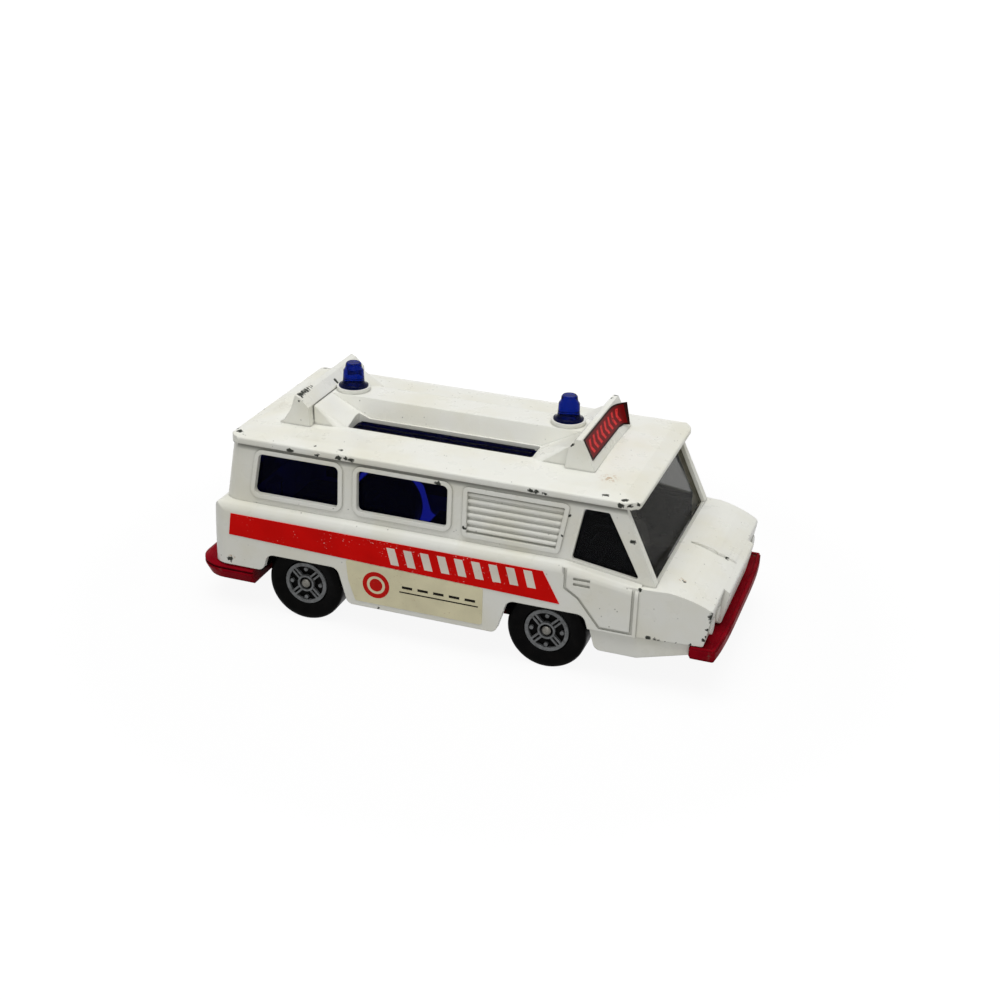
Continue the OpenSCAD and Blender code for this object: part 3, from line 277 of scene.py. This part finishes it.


# sprayed enamel over a zinc casting: glossy off-white, yellowed in patches, pitted, chipped dark at the edges;
# with painted shade in its corners, under the eave and inside
def castEnamel():
    material, tree, shader = newMaterial("enamel over zinc casting",
                                         {"Specular IOR Level": enamelWear["gloss"]})
    coords = objectCoords(tree)
    yellow = grainMask(tree, coords, *enamelWear["yellowing"])
    body = mixColour(tree, (yellow, 0), enamelWear["base"], enamelWear["yellowed"])
    pits = addNode(tree, "ShaderNodeTexVoronoi", {"Vector": coords, "Scale": 1 / (enamelWear["specks"] * mm)})
    pitMask = remap(tree, (pits, 0), enamelWear["speckEdge"])
    sparse = grainMask(tree, coords, *enamelWear["speckPatches"])
    pitted = maths(tree, "MULTIPLY", (pitMask, 0), (sparse, 0))
    flecks = maths(tree, "MULTIPLY", (pitted, 0), enamelWear["speckDepth"])
    flecked = mixColour(tree, (flecks, 0), (body, 2), enamelWear["grimeAndShade"])
    # painted shade: darker in the corners and recesses
    cornerShade = hollowShade(tree, *enamelWear["hollows"])
    cornerShaded = mixColour(tree, (cornerShade, 0), (flecked, 2), enamelWear["grimeAndShade"])
    shaken = shakenCoords(tree, coords, *enamelWear["shake"])
    scuffs = spotMask(tree, shaken, enamelWear["scuffs"], enamelWear["scuffFade"])
    streaks = grainMask(tree, coords, *enamelWear["streaks"])
    rubbed = maths(tree, "MULTIPLY", (scuffs, 0), (streaks, 0))
    scuffed = mixColour(tree, (rubbed, 0), (cornerShaded, 2), enamelWear["scuff"])
    places = [chip for group in enamelChips.values() for chip in group]
    chips = spotMask(tree, shaken, places, enamelWear["chipFade"], enamelWear["chipStretch"])
    chipped = mixColour(tree, (chips, 0), (scuffed, 2), enamelWear["chip"])
    axes = addNode(tree, "ShaderNodeSeparateXYZ", {0: coords})
    fromSide = (maths(tree, "ABSOLUTE", (axes, 1)), 0)
    # painted shade under the eave
    lined = mixColour(tree, (eaveShadow(tree, fromSide, (axes, 2)), 0), (chipped, 2), enamelWear["grimeAndShade"])
    # painted shade inside the casting and its wheel wells
    shown = mixColour(tree, (insideShade(tree, coords, fromSide), 0), (lined, 2), enamelWear["shadeTone"])
    link(tree, shown, 2, shader, "Base Color")
    dull = grainMask(tree, coords, *enamelWear["dulling"])
    rough = remap(tree, (dull, 0), target=enamelWear["roughness"])
    bare = maths(tree, "MULTIPLY_ADD", (chips, 0), enamelWear["chipRough"], (rough, 0))
    link(tree, bare, 0, shader, "Roughness")
    edges = roundedEdges(tree, enamelWear["edgeRound"])
    link(tree, grainBump(tree, coords, *enamelWear["peel"], edges), 0, shader, "Normal")
    return material


# the same enamel in crimson on the base, worn grey-brown at the bumper ends, with painted shade in its
# corners, in the wheel wells and inside
baseWear = {
    "crimson": "#920A1A", "deep": "#7A0815", "rubbed": "#6B4A42", "grimeAndShade": "#2A1214", "wellShade": "#0E0607",
    "gloss": 0.008, "roughness": (0.3, 0.46), "patches": (4.0, 0.35, 0.7), "peel": (0.5, 0.03, 0.35),
    "edgeRound": 0.3, "hollows": (1.2, 0.8, 0.2, 0.7), "shake": (0.6, 1.6),
    "rubs": [(46.2, -19.0, 8.4, 1.1), (45.4, -19.3, 7.4, 0.8), (46.6, -18.6, 8.9, 0.5),
             (-42.5, -20.9, 7.0, 0.5), (-46.6, -14.0, 7.2, 0.6), (-45.2, -19.0, 6.2, 0.7),
             (46.2, 19.0, 8.4, 1.0), (-42.5, 20.9, 7.0, 0.6)],
    "rubFade": 0.6, "streaks": (0.45, 0.42, 0.58),
    # wells and inside: where the base is painted dark as shade
    "wells": [(x, y, 9.0, 11.0) for x in axlesX for y in (-15.5, 15.5)], "wellFade": 0.12,
    "inside": ((-40.0, -17.5, 6.6), (40.0, 17.5, 20.0))}


def crimsonEnamel():
    material, tree, shader = newMaterial("crimson enamel over zinc casting",
                                         {"Specular IOR Level": baseWear["gloss"]})
    coords = objectCoords(tree)
    patch = grainMask(tree, coords, *baseWear["patches"])
    paint = mixColour(tree, (patch, 0), baseWear["crimson"], baseWear["deep"])
    # painted shade: darker in the corners and recesses
    cornerShade = hollowShade(tree, *baseWear["hollows"])
    cornerShaded = mixColour(tree, (cornerShade, 0), (paint, 2), baseWear["grimeAndShade"])
    shaken = shakenCoords(tree, coords, *baseWear["shake"])
    rubs = spotMask(tree, shaken, baseWear["rubs"], baseWear["rubFade"])
    streaks = grainMask(tree, coords, *baseWear["streaks"])
    rubbed = maths(tree, "MULTIPLY", (rubs, 0), (streaks, 0))
    worn = mixColour(tree, (rubbed, 0), (cornerShaded, 2), baseWear["rubbed"])
    # painted shade in the wheel wells and inside
    wells = spotMask(tree, coords, baseWear["wells"], baseWear["wellFade"])
    dark = maths(tree, "MAXIMUM", (wells, 0), (boxMask(tree, coords, *baseWear["inside"]), 0))
    shadedWells = mixColour(tree, (dark, 0), (worn, 2), baseWear["wellShade"])
    link(tree, shadedWells, 2, shader, "Base Color")
    link(tree, remap(tree, (patch, 0), target=baseWear["roughness"]), 0, shader, "Roughness")
    edges = roundedEdges(tree, baseWear["edgeRound"])
    link(tree, grainBump(tree, coords, *baseWear["peel"], edges), 0, shader, "Normal")
    return material


# tinted polystyrene: clear, coloured in the mass, with fine scratches in the polish
panePolish = {"turn": (0.3, 0.5, 0.2), "stretch": (1.0, 1.0, 6.0), "dust": (0.45, 0.8), "dulling": 0.1}
windowPane = {"tint": "#0E1470", "scratches": 0.8, "bend": 1.08, "smooth": 0.03, "clear": 0.985,
              "doorsFrom": (20.4, 20.6), "doorTint": "#8D8F95"}  # forward of this place the panes are smoky
screenPane = {"tint": "#BCBAB0", "scratches": 0.9, "bend": 1.06, "smooth": 0.04, "clear": 1.0}
beaconDome = {"tint": "#08208C", "scratches": 0.5, "bend": 1.12, "smooth": 0.06, "clear": 0.9}


def tintedPolystyrene(name, pane):
    material, tree, shader = newMaterial(name, {"Base Color": linearColour(pane["tint"]), "IOR": pane["bend"],
                                                "Transmission Weight": pane["clear"]})
    coords = objectCoords(tree)
    drawn = addNode(tree, "ShaderNodeMapping", {"Vector": coords, "Rotation": panePolish["turn"],
                    "Scale": panePolish["stretch"]})
    dust = grainMask(tree, (drawn, 0), pane["scratches"], *panePolish["dust"])
    rough = remap(tree, (dust, 0), target=(pane["smooth"], pane["smooth"] + panePolish["dulling"]))
    link(tree, rough, 0, shader, "Roughness")
    if "doorTint" in pane:
        axes = addNode(tree, "ShaderNodeSeparateXYZ", {0: coords})
        forward = remap(tree, (axes, 0), [x * mm for x in pane["doorsFrom"]])
        tinted = mixColour(tree, (forward, 0), pane["tint"], pane["doorTint"])
        link(tree, tinted, 2, shader, "Base Color")
    return material


# moulded black plastic: satin, with a faint flow grain
tyreFinish = {"black": "#050505", "dusty": "#0E0D0C", "gloss": 0.03, "dust": (1.6, 0.45, 0.85),
              "roughness": (0.32, 0.55), "peel": (0.35, 0.03, 0.2)}


def tyrePlastic():
    material, tree, shader = newMaterial("black moulded plastic", {"Specular IOR Level": tyreFinish["gloss"]})
    coords = objectCoords(tree)
    dust = grainMask(tree, coords, *tyreFinish["dust"])
    tone = mixColour(tree, (dust, 0), tyreFinish["black"], tyreFinish["dusty"])
    link(tree, tone, 2, shader, "Base Color")
    link(tree, remap(tree, (dust, 0), target=tyreFinish["roughness"]), 0, shader, "Roughness")
    link(tree, grainBump(tree, coords, *tyreFinish["peel"]), 0, shader, "Normal")
    return material


# metallised plastic: grey silver that has dulled, with painted shade down in the corners
hubFinish = {"silver": "#6F7172", "dulled": "#585959", "shadeTone": "#2B2A28", "metal": 0.3, "gloss": 0.2,
             "dulling": (0.8, 0.4, 0.7), "hollows": (0.5, 0.8, 0.3, 0.8), "roughness": (0.3, 0.5),
             "edgeRound": 0.12, "edgeRays": 4}


def hubPlating():
    material, tree, shader = newMaterial("metallised plastic", {"Metallic": hubFinish["metal"],
                                                                "Specular IOR Level": hubFinish["gloss"]})
    coords = objectCoords(tree)
    dull = grainMask(tree, coords, *hubFinish["dulling"])
    plating = mixColour(tree, (dull, 0), hubFinish["silver"], hubFinish["dulled"])
    # painted shade: darker in the corners and recesses
    cornerShade = hollowShade(tree, *hubFinish["hollows"])
    cornerShaded = mixColour(tree, (cornerShade, 0), (plating, 2), hubFinish["shadeTone"])
    link(tree, cornerShaded, 2, shader, "Base Color")
    link(tree, remap(tree, (dull, 0), target=hubFinish["roughness"]), 0, shader, "Roughness")
    link(tree, roundedEdges(tree, hubFinish["edgeRound"], hubFinish["edgeRays"]), 0, shader, "Normal")
    return material


# drawn steel wire, dulled, with lines along the drawing
wireFinish = {"steel": "#7E7C76", "dulled": "#55534E", "metal": 0.8, "drawing": (1.0, 0.05, 1.0),
              "lines": (0.12, 0.35, 0.7), "roughness": (0.35, 0.55)}


def axleWire():
    material, tree, shader = newMaterial("drawn steel wire", {"Metallic": wireFinish["metal"]})
    drawn = addNode(tree, "ShaderNodeMapping", {"Vector": objectCoords(tree), "Scale": wireFinish["drawing"]})
    lines = grainMask(tree, (drawn, 0), *wireFinish["lines"])
    tone = mixColour(tree, (lines, 0), wireFinish["steel"], wireFinish["dulled"])
    link(tree, tone, 2, shader, "Base Color")
    link(tree, remap(tree, (lines, 0), target=wireFinish["roughness"]), 0, shader, "Roughness")
    return material


# printed label paper: flat ink under varnish, with paper showing where the ink has flaked
paperFinish = {"gloss": 0.05, "patches": (5.0, 0.35, 0.7), "deeper": 0.86, "flakes": (0.34, 0.66, 0.7, 2.0),
               "flakePatches": (4.5, 0.5, 0.62), "roughness": (0.36, 0.5), "fibre": (0.4, 0.02, 0.15)}
labelInks = {"stripe": ("#DA0A06", "#F0D8D0", 0.8), "cream": ("#E5DEBB", "#B9A37C", 0.5),
             "white": ("#E9E0D2", "#D89A90", 0.6), "black": ("#17140F", "#5A5142", 0.5),
             "red": ("#C81A14", "#E2B8A8", 0.6)}  # ink, tone where it is worn, strength of the flakes


def printedPaper(name, ink, worn, flaking):
    material, tree, shader = newMaterial(name, {"Specular IOR Level": paperFinish["gloss"]})
    coords = objectCoords(tree)
    uneven = grainMask(tree, coords, *paperFinish["patches"])
    deeper = tuple(c * paperFinish["deeper"] for c in linearColour(ink)[:3]) + (1.0,)
    tone = mixColour(tree, (uneven, 0), ink, deeper)
    fine = grainMask(tree, coords, *paperFinish["flakes"])
    where = grainMask(tree, coords, *paperFinish["flakePatches"])
    flakes = maths(tree, "MULTIPLY", (fine, 0), (where, 0))
    flecked = mixColour(tree, (maths(tree, "MULTIPLY", (flakes, 0), flaking), 0), (tone, 2), worn)
    link(tree, flecked, 2, shader, "Base Color")
    link(tree, remap(tree, (uneven, 0), target=paperFinish["roughness"]), 0, shader, "Roughness")
    link(tree, grainBump(tree, coords, *paperFinish["fibre"]), 0, shader, "Normal")
    return material


# the sign's print: dark red ground, brown border and bright chevrons, laid out on the label's own map
signPrint = {"ground": "#6E0406", "border": "#2A0D0A", "mark": "#E23434", "gloss": 0.05, "roughness": 0.42,
             "chevrons": 9.0, "bend": 1.1, "part": 0.42, "edge": (0.025, 0.08), "inside": (0.06, 0.2),
             "middle": 0.5, "wear": (0.5, 0.3, 0.42)}


def signPaper():
    material, tree, shader = newMaterial("dark red printed label", {"Specular IOR Level": signPrint["gloss"],
                                                                    "Roughness": signPrint["roughness"]})
    flat = addNode(tree, "ShaderNodeSeparateXYZ", {0: (addNode(tree, "ShaderNodeUVMap", uv_map="print"), 0)})
    fromEdge = [maths(tree, "PINGPONG", (flat, axis), signPrint["middle"]) for axis in (0, 1)]

    def within(limits):
        inside = [maths(tree, "GREATER_THAN", (fromEdge[i], 0), limits[i]) for i in (0, 1)]
        return maths(tree, "MULTIPLY", (inside[0], 0), (inside[1], 0))

    bend = maths(tree, "MULTIPLY", (fromEdge[1], 0), signPrint["bend"])
    run = maths(tree, "MULTIPLY_ADD", (flat, 0), signPrint["chevrons"], (bend, 0))
    phase = maths(tree, "FRACT", (run, 0))
    bars = maths(tree, "LESS_THAN", (phase, 0), signPrint["part"])
    chevrons = maths(tree, "MULTIPLY", (bars, 0), (within(signPrint["inside"]), 0))
    kept = grainMask(tree, objectCoords(tree), *signPrint["wear"])
    inked = maths(tree, "MULTIPLY", (chevrons, 0), (kept, 0))
    ground = mixColour(tree, (within(signPrint["edge"]), 0), signPrint["border"], signPrint["ground"])
    printed = mixColour(tree, (inked, 0), (ground, 2), signPrint["mark"])
    link(tree, printed, 2, shader, "Base Color")
    return material


whiteEnamel = castEnamel()
redEnamel = crimsonEnamel()
windowTint = tintedPolystyrene("blue tinted polystyrene", windowPane)
screenTint = tintedPolystyrene("smoky tinted polystyrene", screenPane)
beaconTint = tintedPolystyrene("blue polystyrene", beaconDome)
blackPlastic = tyrePlastic()
platedPlastic = hubPlating()
steelWire = axleWire()
stripeInk = printedPaper("red printed label", *labelInks["stripe"])
creamPaper = printedPaper("cream label paper", *labelInks["cream"])
signInk = signPaper()
whiteInk = printedPaper("white printing ink", *labelInks["white"])
blackInk = printedPaper("black printing ink", *labelInks["black"])
redInk = printedPaper("red printing ink", *labelInks["red"])
print("materials made")


# corners that the die leaves round: edges across the casting at these places (x, z) in millimetres
softCorners = {"body_shell": {"places": [(-34.22, 8.7), (-17.82, 5.5), (9.52, 5.5), (26.88, 5.5)],
                              "near": 0.04, "level": 0.01, "beside": 0.2, "climb": (0.02, 0.3),
                              "round": 0.9, "steps": 5, "profile": 0.5}}


def roundCorners(work, corners):
    def edgesAcross(reach, low, high):
        found = []
        for edge in work.edges:
            first, second = (point.co / mm for point in edge.verts)
            level = max(abs(first.x - second.x), abs(first.z - second.z)) < corners["level"]
            away = [(abs(first.x - x), first.z - z) for x, z in corners["places"]]
            if level and any(along < reach and low < above < high for along, above in away):
                found.append(edge)
        return found

    spare = edgesAcross(corners["beside"], *corners["climb"])  # short steps that crowd the corner
    bmesh.ops.dissolve_edges(work, edges=spare, use_verts=True)
    picked = edgesAcross(corners["near"], -corners["near"], corners["near"])
    bmesh.ops.bevel(work, geom=picked, offset=corners["round"] * mm, offset_type="OFFSET",
                    segments=corners["steps"], profile=corners["profile"], affect="EDGES", clamp_overlap=True)
    print("corners rounded", len(picked))


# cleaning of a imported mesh: lengths in millimetres, angles in degrees
cleaning = {"merge": 0.002, "sliver": 0.0001, "flat": 0.3, "evenWeight": 100,
            "creases": {"cast": 18.0, "plain": 32.0, "tyre": 40.0}}


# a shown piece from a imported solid: doubles merged, flat areas joined, curved faces smooth, sharp edges kept
def dressNode(node, piece, material, crease="plain"):
    mesh = frame["nodes"][node].data.copy()
    mesh.name = piece
    work = bmesh.new()
    work.from_mesh(mesh)
    bmesh.ops.remove_doubles(work, verts=work.verts, dist=cleaning["merge"] * mm)
    bmesh.ops.dissolve_degenerate(work, edges=work.edges, dist=cleaning["sliver"] * mm)
    bmesh.ops.dissolve_limit(work, angle_limit=math.radians(cleaning["flat"]), verts=work.verts,
                             edges=work.edges)
    if node in softCorners:
        roundCorners(work, softCorners[node])
    work.to_mesh(mesh)
    work.free()
    mesh.materials.clear()
    mesh.materials.append(material)
    for face in mesh.polygons:
        face.material_index = 0
    mesh.shade_smooth()
    mesh.set_sharp_from_angle(angle=math.radians(cleaning["creases"][crease]))
    shown = bpy.data.objects.new(piece, mesh)
    scene.collection.objects.link(shown)
    weighted = shown.modifiers.new("even shading", "WEIGHTED_NORMAL")
    weighted.keep_sharp = True
    weighted.weight = cleaning["evenWeight"]
    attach(shown, frame["nodes"][node]["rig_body"])
    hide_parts(node)
    return shown


fixedPieces = [("body_shell", "body-casting", whiteEnamel, "white_enamel", "cast"),
               ("baseplate", "base-casting", redEnamel, "red_enamel", "cast"),
               ("glazing", "window-moulding", windowTint, "blue_tint", "plain"),
               ("windscreen", "windscreen-pane", screenTint, "smoke_tint", "plain"),
               ("beacon_front", "front-beacon", beaconTint, "beacon_blue", "plain"),
               ("beacon_rear", "rear-beacon", beaconTint, "beacon_blue", "plain"),
               ("axle_front", "front-axle-wire", steelWire, "steel_wire", "plain"),
               ("axle_rear", "rear-axle-wire", steelWire, "steel_wire", "plain")]
for node, piece, material, slot, crease in fixedPieces:
    dressNode(node, piece, material, crease)
print("castings, panes and axles dressed")


for end in ("front", "rear"):
    for side in ("right", "left"):
        dressNode(f"wheel_{end}_{side}", f"{end}-{side}-tyre", blackPlastic, "tyre")
        dressNode(f"hub_{end}_{side}", f"{end}-{side}-hub", platedPlastic)
print("wheels dressed")


for side in ("right", "left"):
    dressNode(f"stripe_{side}", f"{side}-stripe-label", stripeInk)
    dressNode(f"panel_label_{side}", f"{side}-panel-label", creamPaper)
signPiece = dressNode("sign_label", "sign-label", signInk)

# the label's map runs across the sign and up its leaning face; its far end has sprung away from the casting
signSheet = {"foot": (22.9, 34.0), "lean": 27.46, "low": 1.622, "height": 3.9, "lifted": 6.0,
             "head": (0.6, -0.75), "hem": (-0.35, -1.4)}
signLow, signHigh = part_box("sign_label")
signMap = signPiece.data.uv_layers.new(name="print")
tilt = math.radians(signSheet["lean"])
placed = []
for point in signPiece.data.vertices:
    fromFoot = (point.co.x / mm - signSheet["foot"][0], point.co.z / mm - signSheet["foot"][1])
    raised = -fromFoot[0] * math.sin(tilt) + fromFoot[1] * math.cos(tilt) - signSheet["low"]
    across = (point.co.y - signLow.y) / (signHigh.y - signLow.y)
    placed.append((across, raised / signSheet["height"]))
for corner in signPiece.data.loops:
    signMap.data[corner.index].uv = placed[corner.vertex_index]
for point, (across, climb) in zip(signPiece.data.vertices, placed):
    sprung = max(0.0, point.co.y / signHigh.y) ** signSheet["lifted"]
    for axis, part in ((0, 0), (2, 1)):
        bottom, top = signSheet["hem"][part], signSheet["head"][part]
        point.co[axis] += sprung * (bottom + (top - bottom) * climb) * mm
print("labels dressed")


# a row of slanted bars of ink, made along X in the plane of the side; sizes and gaps come from the inputs
def barTree(name):
    tree = bpy.data.node_groups.new(name, "GeometryNodeTree")
    face = tree.interface
    sizes = [("Count", "NodeSocketInt"), ("Start", "NodeSocketVector"), ("Step", "NodeSocketVector"),
             ("Bar", "NodeSocketVector"), ("Slant", "NodeSocketFloat"), ("Ink", "NodeSocketMaterial")]
    for label, kind in sizes:
        face.new_socket(label, in_out="INPUT", socket_type=kind)
    face.new_socket("Geometry", in_out="OUTPUT", socket_type="NodeSocketGeometry")
    given = addNode(tree, "NodeGroupInput")
    row = addNode(tree, "GeometryNodeMeshLine", {"Count": (given, "Count"), "Offset": (given, "Step"),
                  "Start Location": (given, "Start")})
    bar = addNode(tree, "GeometryNodeMeshCube", {"Size": (given, "Bar")})
    here = addNode(tree, "GeometryNodeInputPosition")
    split = addNode(tree, "ShaderNodeSeparateXYZ", {0: (here, 0)})
    lean = maths(tree, "MULTIPLY", (split, 2), (given, "Slant"))
    shift = addNode(tree, "ShaderNodeCombineXYZ", {0: (lean, 0)})
    leaning = addNode(tree, "GeometryNodeSetPosition", {"Geometry": (bar, 0), "Offset": (shift, 0)})
    bars = addNode(tree, "GeometryNodeInstanceOnPoints", {"Points": (row, 0), "Instance": (leaning, 0)})
    real = addNode(tree, "GeometryNodeRealizeInstances", {0: (bars, 0)})
    inked = addNode(tree, "GeometryNodeSetMaterial", {"Geometry": (real, 0), "Material": (given, "Ink")})
    addNode(tree, "NodeGroupOutput", {"Geometry": (inked, 0)})
    return tree


inkBars = barTree("ink bars")


def layBars(piece, ink, count, start, step, bar, slant):
    holder = bpy.data.objects.new(piece + "-maker", bpy.data.meshes.new(piece + "-maker"))
    scene.collection.objects.link(holder)
    maker = holder.modifiers.new("bars", "NODES")
    maker.node_group = inkBars
    values = {"Count": count, "Start": [v * mm for v in start], "Step": [v * mm for v in step],
              "Bar": [v * mm for v in bar], "Slant": slant, "Ink": ink}
    for item in inkBars.interface.items_tree:
        if item.in_out == "INPUT":
            maker[item.identifier] = values[item.name]
    made = holder.evaluated_get(bpy.context.evaluated_depsgraph_get())
    mesh = bpy.data.meshes.new_from_object(made)
    bpy.data.objects.remove(holder)
    mesh.name = piece
    shown = bpy.data.objects.new(piece, mesh)
    scene.collection.objects.link(shown)
    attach(shown, "chassis")


# plain printed marks: slanted white bars on the stripe, rows of dark rules and a disc on the panel label
marks = {"face": 20.82, "ink": 0.03, "sunk": 0.005, "stripeBars": 9, "stripeFrom": -9.3, "stripeTo": 15.3,
         "barWidth": 1.5, "barHeight": 3.1, "barSlant": -0.28, "barZ": (16.25, 16.9),
         "rules": 5, "ruleFrom": -6.6, "ruleTo": 4.9, "ruleLength": 1.9, "ruleZ": (10.75, 9.8),
         "ruleHeights": (0.45, 0.225), "discPlace": (-12.4, 10.2), "ring": (1.7, 2.5), "dot": 1.2,
         "discSteps": 48}
for side, sign in (("right", -1), ("left", 1)):
    faceY = sign * (marks["face"] + marks["ink"] / 2 - marks["sunk"])
    rise = (marks["barZ"][1] - marks["barZ"][0]) / (marks["stripeBars"] - 1)
    pitch = (marks["stripeTo"] - marks["stripeFrom"]) / (marks["stripeBars"] - 1)
    layBars(f"{side}-stripe-bars", whiteInk, marks["stripeBars"],
            (marks["stripeFrom"], faceY, marks["barZ"][0]), (pitch, 0, rise),
            (marks["barWidth"], marks["ink"], marks["barHeight"]), marks["barSlant"])
    gap = (marks["ruleTo"] - marks["ruleFrom"]) / (marks["rules"] - 1)
    lengths = (marks["ruleLength"], gap)  # the rules of the second row meet in one line
    for line, (z, height, length) in enumerate(zip(marks["ruleZ"], marks["ruleHeights"], lengths)):
        layBars(f"{side}-panel-rule-{line + 1}", blackInk, marks["rules"],
                (marks["ruleFrom"], faceY, z), (gap, 0, 0), (length, marks["ink"], height), 0.0)


# a printed ring and dot, as a flat closed mesh seated on the label
def layDisc(piece, sign):
    middleX, middleZ = marks["discPlace"]
    steps = marks["discSteps"]
    near = sign * (marks["face"] - marks["sunk"]) * mm
    far = sign * (marks["face"] + marks["ink"] - marks["sunk"]) * mm
    work = bmesh.new()

    def circle(reach, y):
        points = []
        for i in range(steps):
            angle = 2 * math.pi * i / steps
            x, z = middleX + reach * math.cos(angle), middleZ + reach * math.sin(angle)
            points.append(work.verts.new((x * mm, y, z * mm)))
        return points

    def joinCircles(order):
        for first, second in zip(order, order[1:]):
            for i in range(steps):
                k = (i + 1) % steps
                work.faces.new((first[i], first[k], second[k], second[i]))

    inner, outer = ([circle(reach, y) for y in (near, far)] for reach in marks["ring"])
    joinCircles((inner[0], inner[1], outer[1], outer[0], inner[0]))
    dot = [circle(marks["dot"], y) for y in (near, far)]
    work.faces.new(dot[0])
    work.faces.new(dot[1])
    joinCircles(dot)
    bmesh.ops.recalc_face_normals(work, faces=work.faces)
    mesh = bpy.data.meshes.new(piece)
    work.to_mesh(mesh)
    work.free()
    mesh.materials.append(redInk)
    shown = bpy.data.objects.new(piece, mesh)
    scene.collection.objects.link(shown)
    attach(shown, "chassis")


layDisc("right-panel-disc", -1)
layDisc("left-panel-disc", 1)
print("printed marks laid")


# stage, in metres: a pale floor that keeps a soft shadow, a white surround and two soft lamps
stageLight = {"floor": 3.0, "floorGlow": 0.8, "floorTone": 0.42, "nearFloor": 0.07, "farFloor": 0.2,
              "cabPlace": (0.02, 0.039, 0.0), "underFloor": 0.012, "clearFloor": 0.02, "underTone": 0.03,
              "world": 0.3, "aim": (0.0, 0.0, 0.02), "white": (1.0, 1.0, 1.0, 1.0)}
lamps = {"key lamp": {"power": 2.7, "size": 0.6, "place": (0.0, -0.1, 0.6)},
         "fill lamp": {"power": 0.24, "size": 0.35, "place": (0.14, -0.36, 0.13)}}
floorMesh = bpy.data.meshes.new("floor")
reach = stageLight["floor"]
floorMesh.from_pydata([(-reach, -reach, 0), (reach, -reach, 0), (reach, reach, 0), (-reach, reach, 0)], [],
                      [(0, 1, 2, 3)])
floor = bpy.data.objects.new("floor", floorMesh)
scene.collection.objects.link(floor)
floorPaint = bpy.data.materials.new("matt white floor")
floorPaint.use_nodes = True
floorTree = floorPaint.node_tree
floorTree.nodes.clear()
rays = addNode(floorTree, "ShaderNodeLightPath")
spot = objectCoords(floorTree)
axes = addNode(floorTree, "ShaderNodeSeparateXYZ", {0: spot})
fromSide = maths(floorTree, "ABSOLUTE", (axes, 1))  # alike on both sides
beside = addNode(floorTree, "ShaderNodeCombineXYZ", {0: (axes, 0), 1: (fromSide, 0)})
fromCab = addNode(floorTree, "ShaderNodeVectorMath", {0: (beside, 0), 1: stageLight["cabPlace"]},
                  operation="DISTANCE")
# painted shadow: through the panes, the floor beside the cab is drawn dark
clear = remap(floorTree, (fromCab, 1), (stageLight["underFloor"], stageLight["clearFloor"]))
through = maths(floorTree, "MULTIPLY", (rays, "Is Transmission Ray"), (clear, 0))
mirrored = maths(floorTree, "SUBTRACT", (rays, "Is Glossy Ray"), (rays, "Is Transmission Ray"), clamp=True)
seen = maths(floorTree, "MAXIMUM", (rays, "Is Camera Ray"), (through, 0))
seen = maths(floorTree, "MAXIMUM", (seen, 0), (mirrored, 0))
away = addNode(floorTree, "ShaderNodeVectorMath", {0: spot}, operation="LENGTH")
whiter = remap(floorTree, (away, 1), (stageLight["nearFloor"], stageLight["farFloor"]),
               (stageLight["floorGlow"], 1.0))
share = maths(floorTree, "MULTIPLY", (seen, 0), (whiter, 0))
tone, deep = stageLight["floorTone"], stageLight["underTone"]
# the painted shadow: a dark floor tone seen only through the panes near the cab
under = maths(floorTree, "SUBTRACT", (rays, "Is Transmission Ray"), (through, 0))
shaded = mixColour(floorTree, (under, 0), (tone, tone, tone, 1.0), (deep, deep, deep, 1.0))
matt = addNode(floorTree, "ShaderNodeBsdfDiffuse", {"Color": (shaded, 2)})
shine = (1 - (1 - stageLight["floorGlow"]) * tone) / stageLight["floorGlow"]  # white where no shadow falls
glow = addNode(floorTree, "ShaderNodeEmission", {"Color": stageLight["white"], "Strength": shine})
blended = addNode(floorTree, "ShaderNodeMixShader", {0: (share, 0), 1: (matt, 0), 2: (glow, 0)})
addNode(floorTree, "ShaderNodeOutputMaterial", {"Surface": (blended, 0)})
floorMesh.materials.append(floorPaint)

world = bpy.data.worlds.new("white surround")
world.use_nodes = True
scene.world = world
worldTree = world.node_tree
worldTree.nodes.clear()
worldRays = addNode(worldTree, "ShaderNodeLightPath")
shownRay = maths(worldTree, "MAXIMUM", (worldRays, "Is Camera Ray"), (worldRays, "Is Glossy Ray"))
shownRay = maths(worldTree, "MAXIMUM", (shownRay, 0), (worldRays, "Is Transmission Ray"))
strength = remap(worldTree, (shownRay, 0), target=(stageLight["world"], 1.0))
sky = addNode(worldTree, "ShaderNodeBackground", {"Color": stageLight["white"], "Strength": (strength, 0)})
addNode(worldTree, "ShaderNodeOutputWorld", {"Surface": (sky, 0)})


def softLamp(name, power, size, place):
    lamp = bpy.data.lights.new(name, "AREA")
    lamp.shape = "DISK"
    lamp.size = size
    lamp.energy = power
    stand = bpy.data.objects.new(name, lamp)
    stand.location = place
    stand.rotation_mode = "QUATERNION"
    stand.rotation_quaternion = (Vector(stageLight["aim"]) - Vector(place)).to_track_quat("-Z", "Y")
    scene.collection.objects.link(stand)


for name, lamp in lamps.items():
    softLamp(name, **lamp)
print("stage lit")
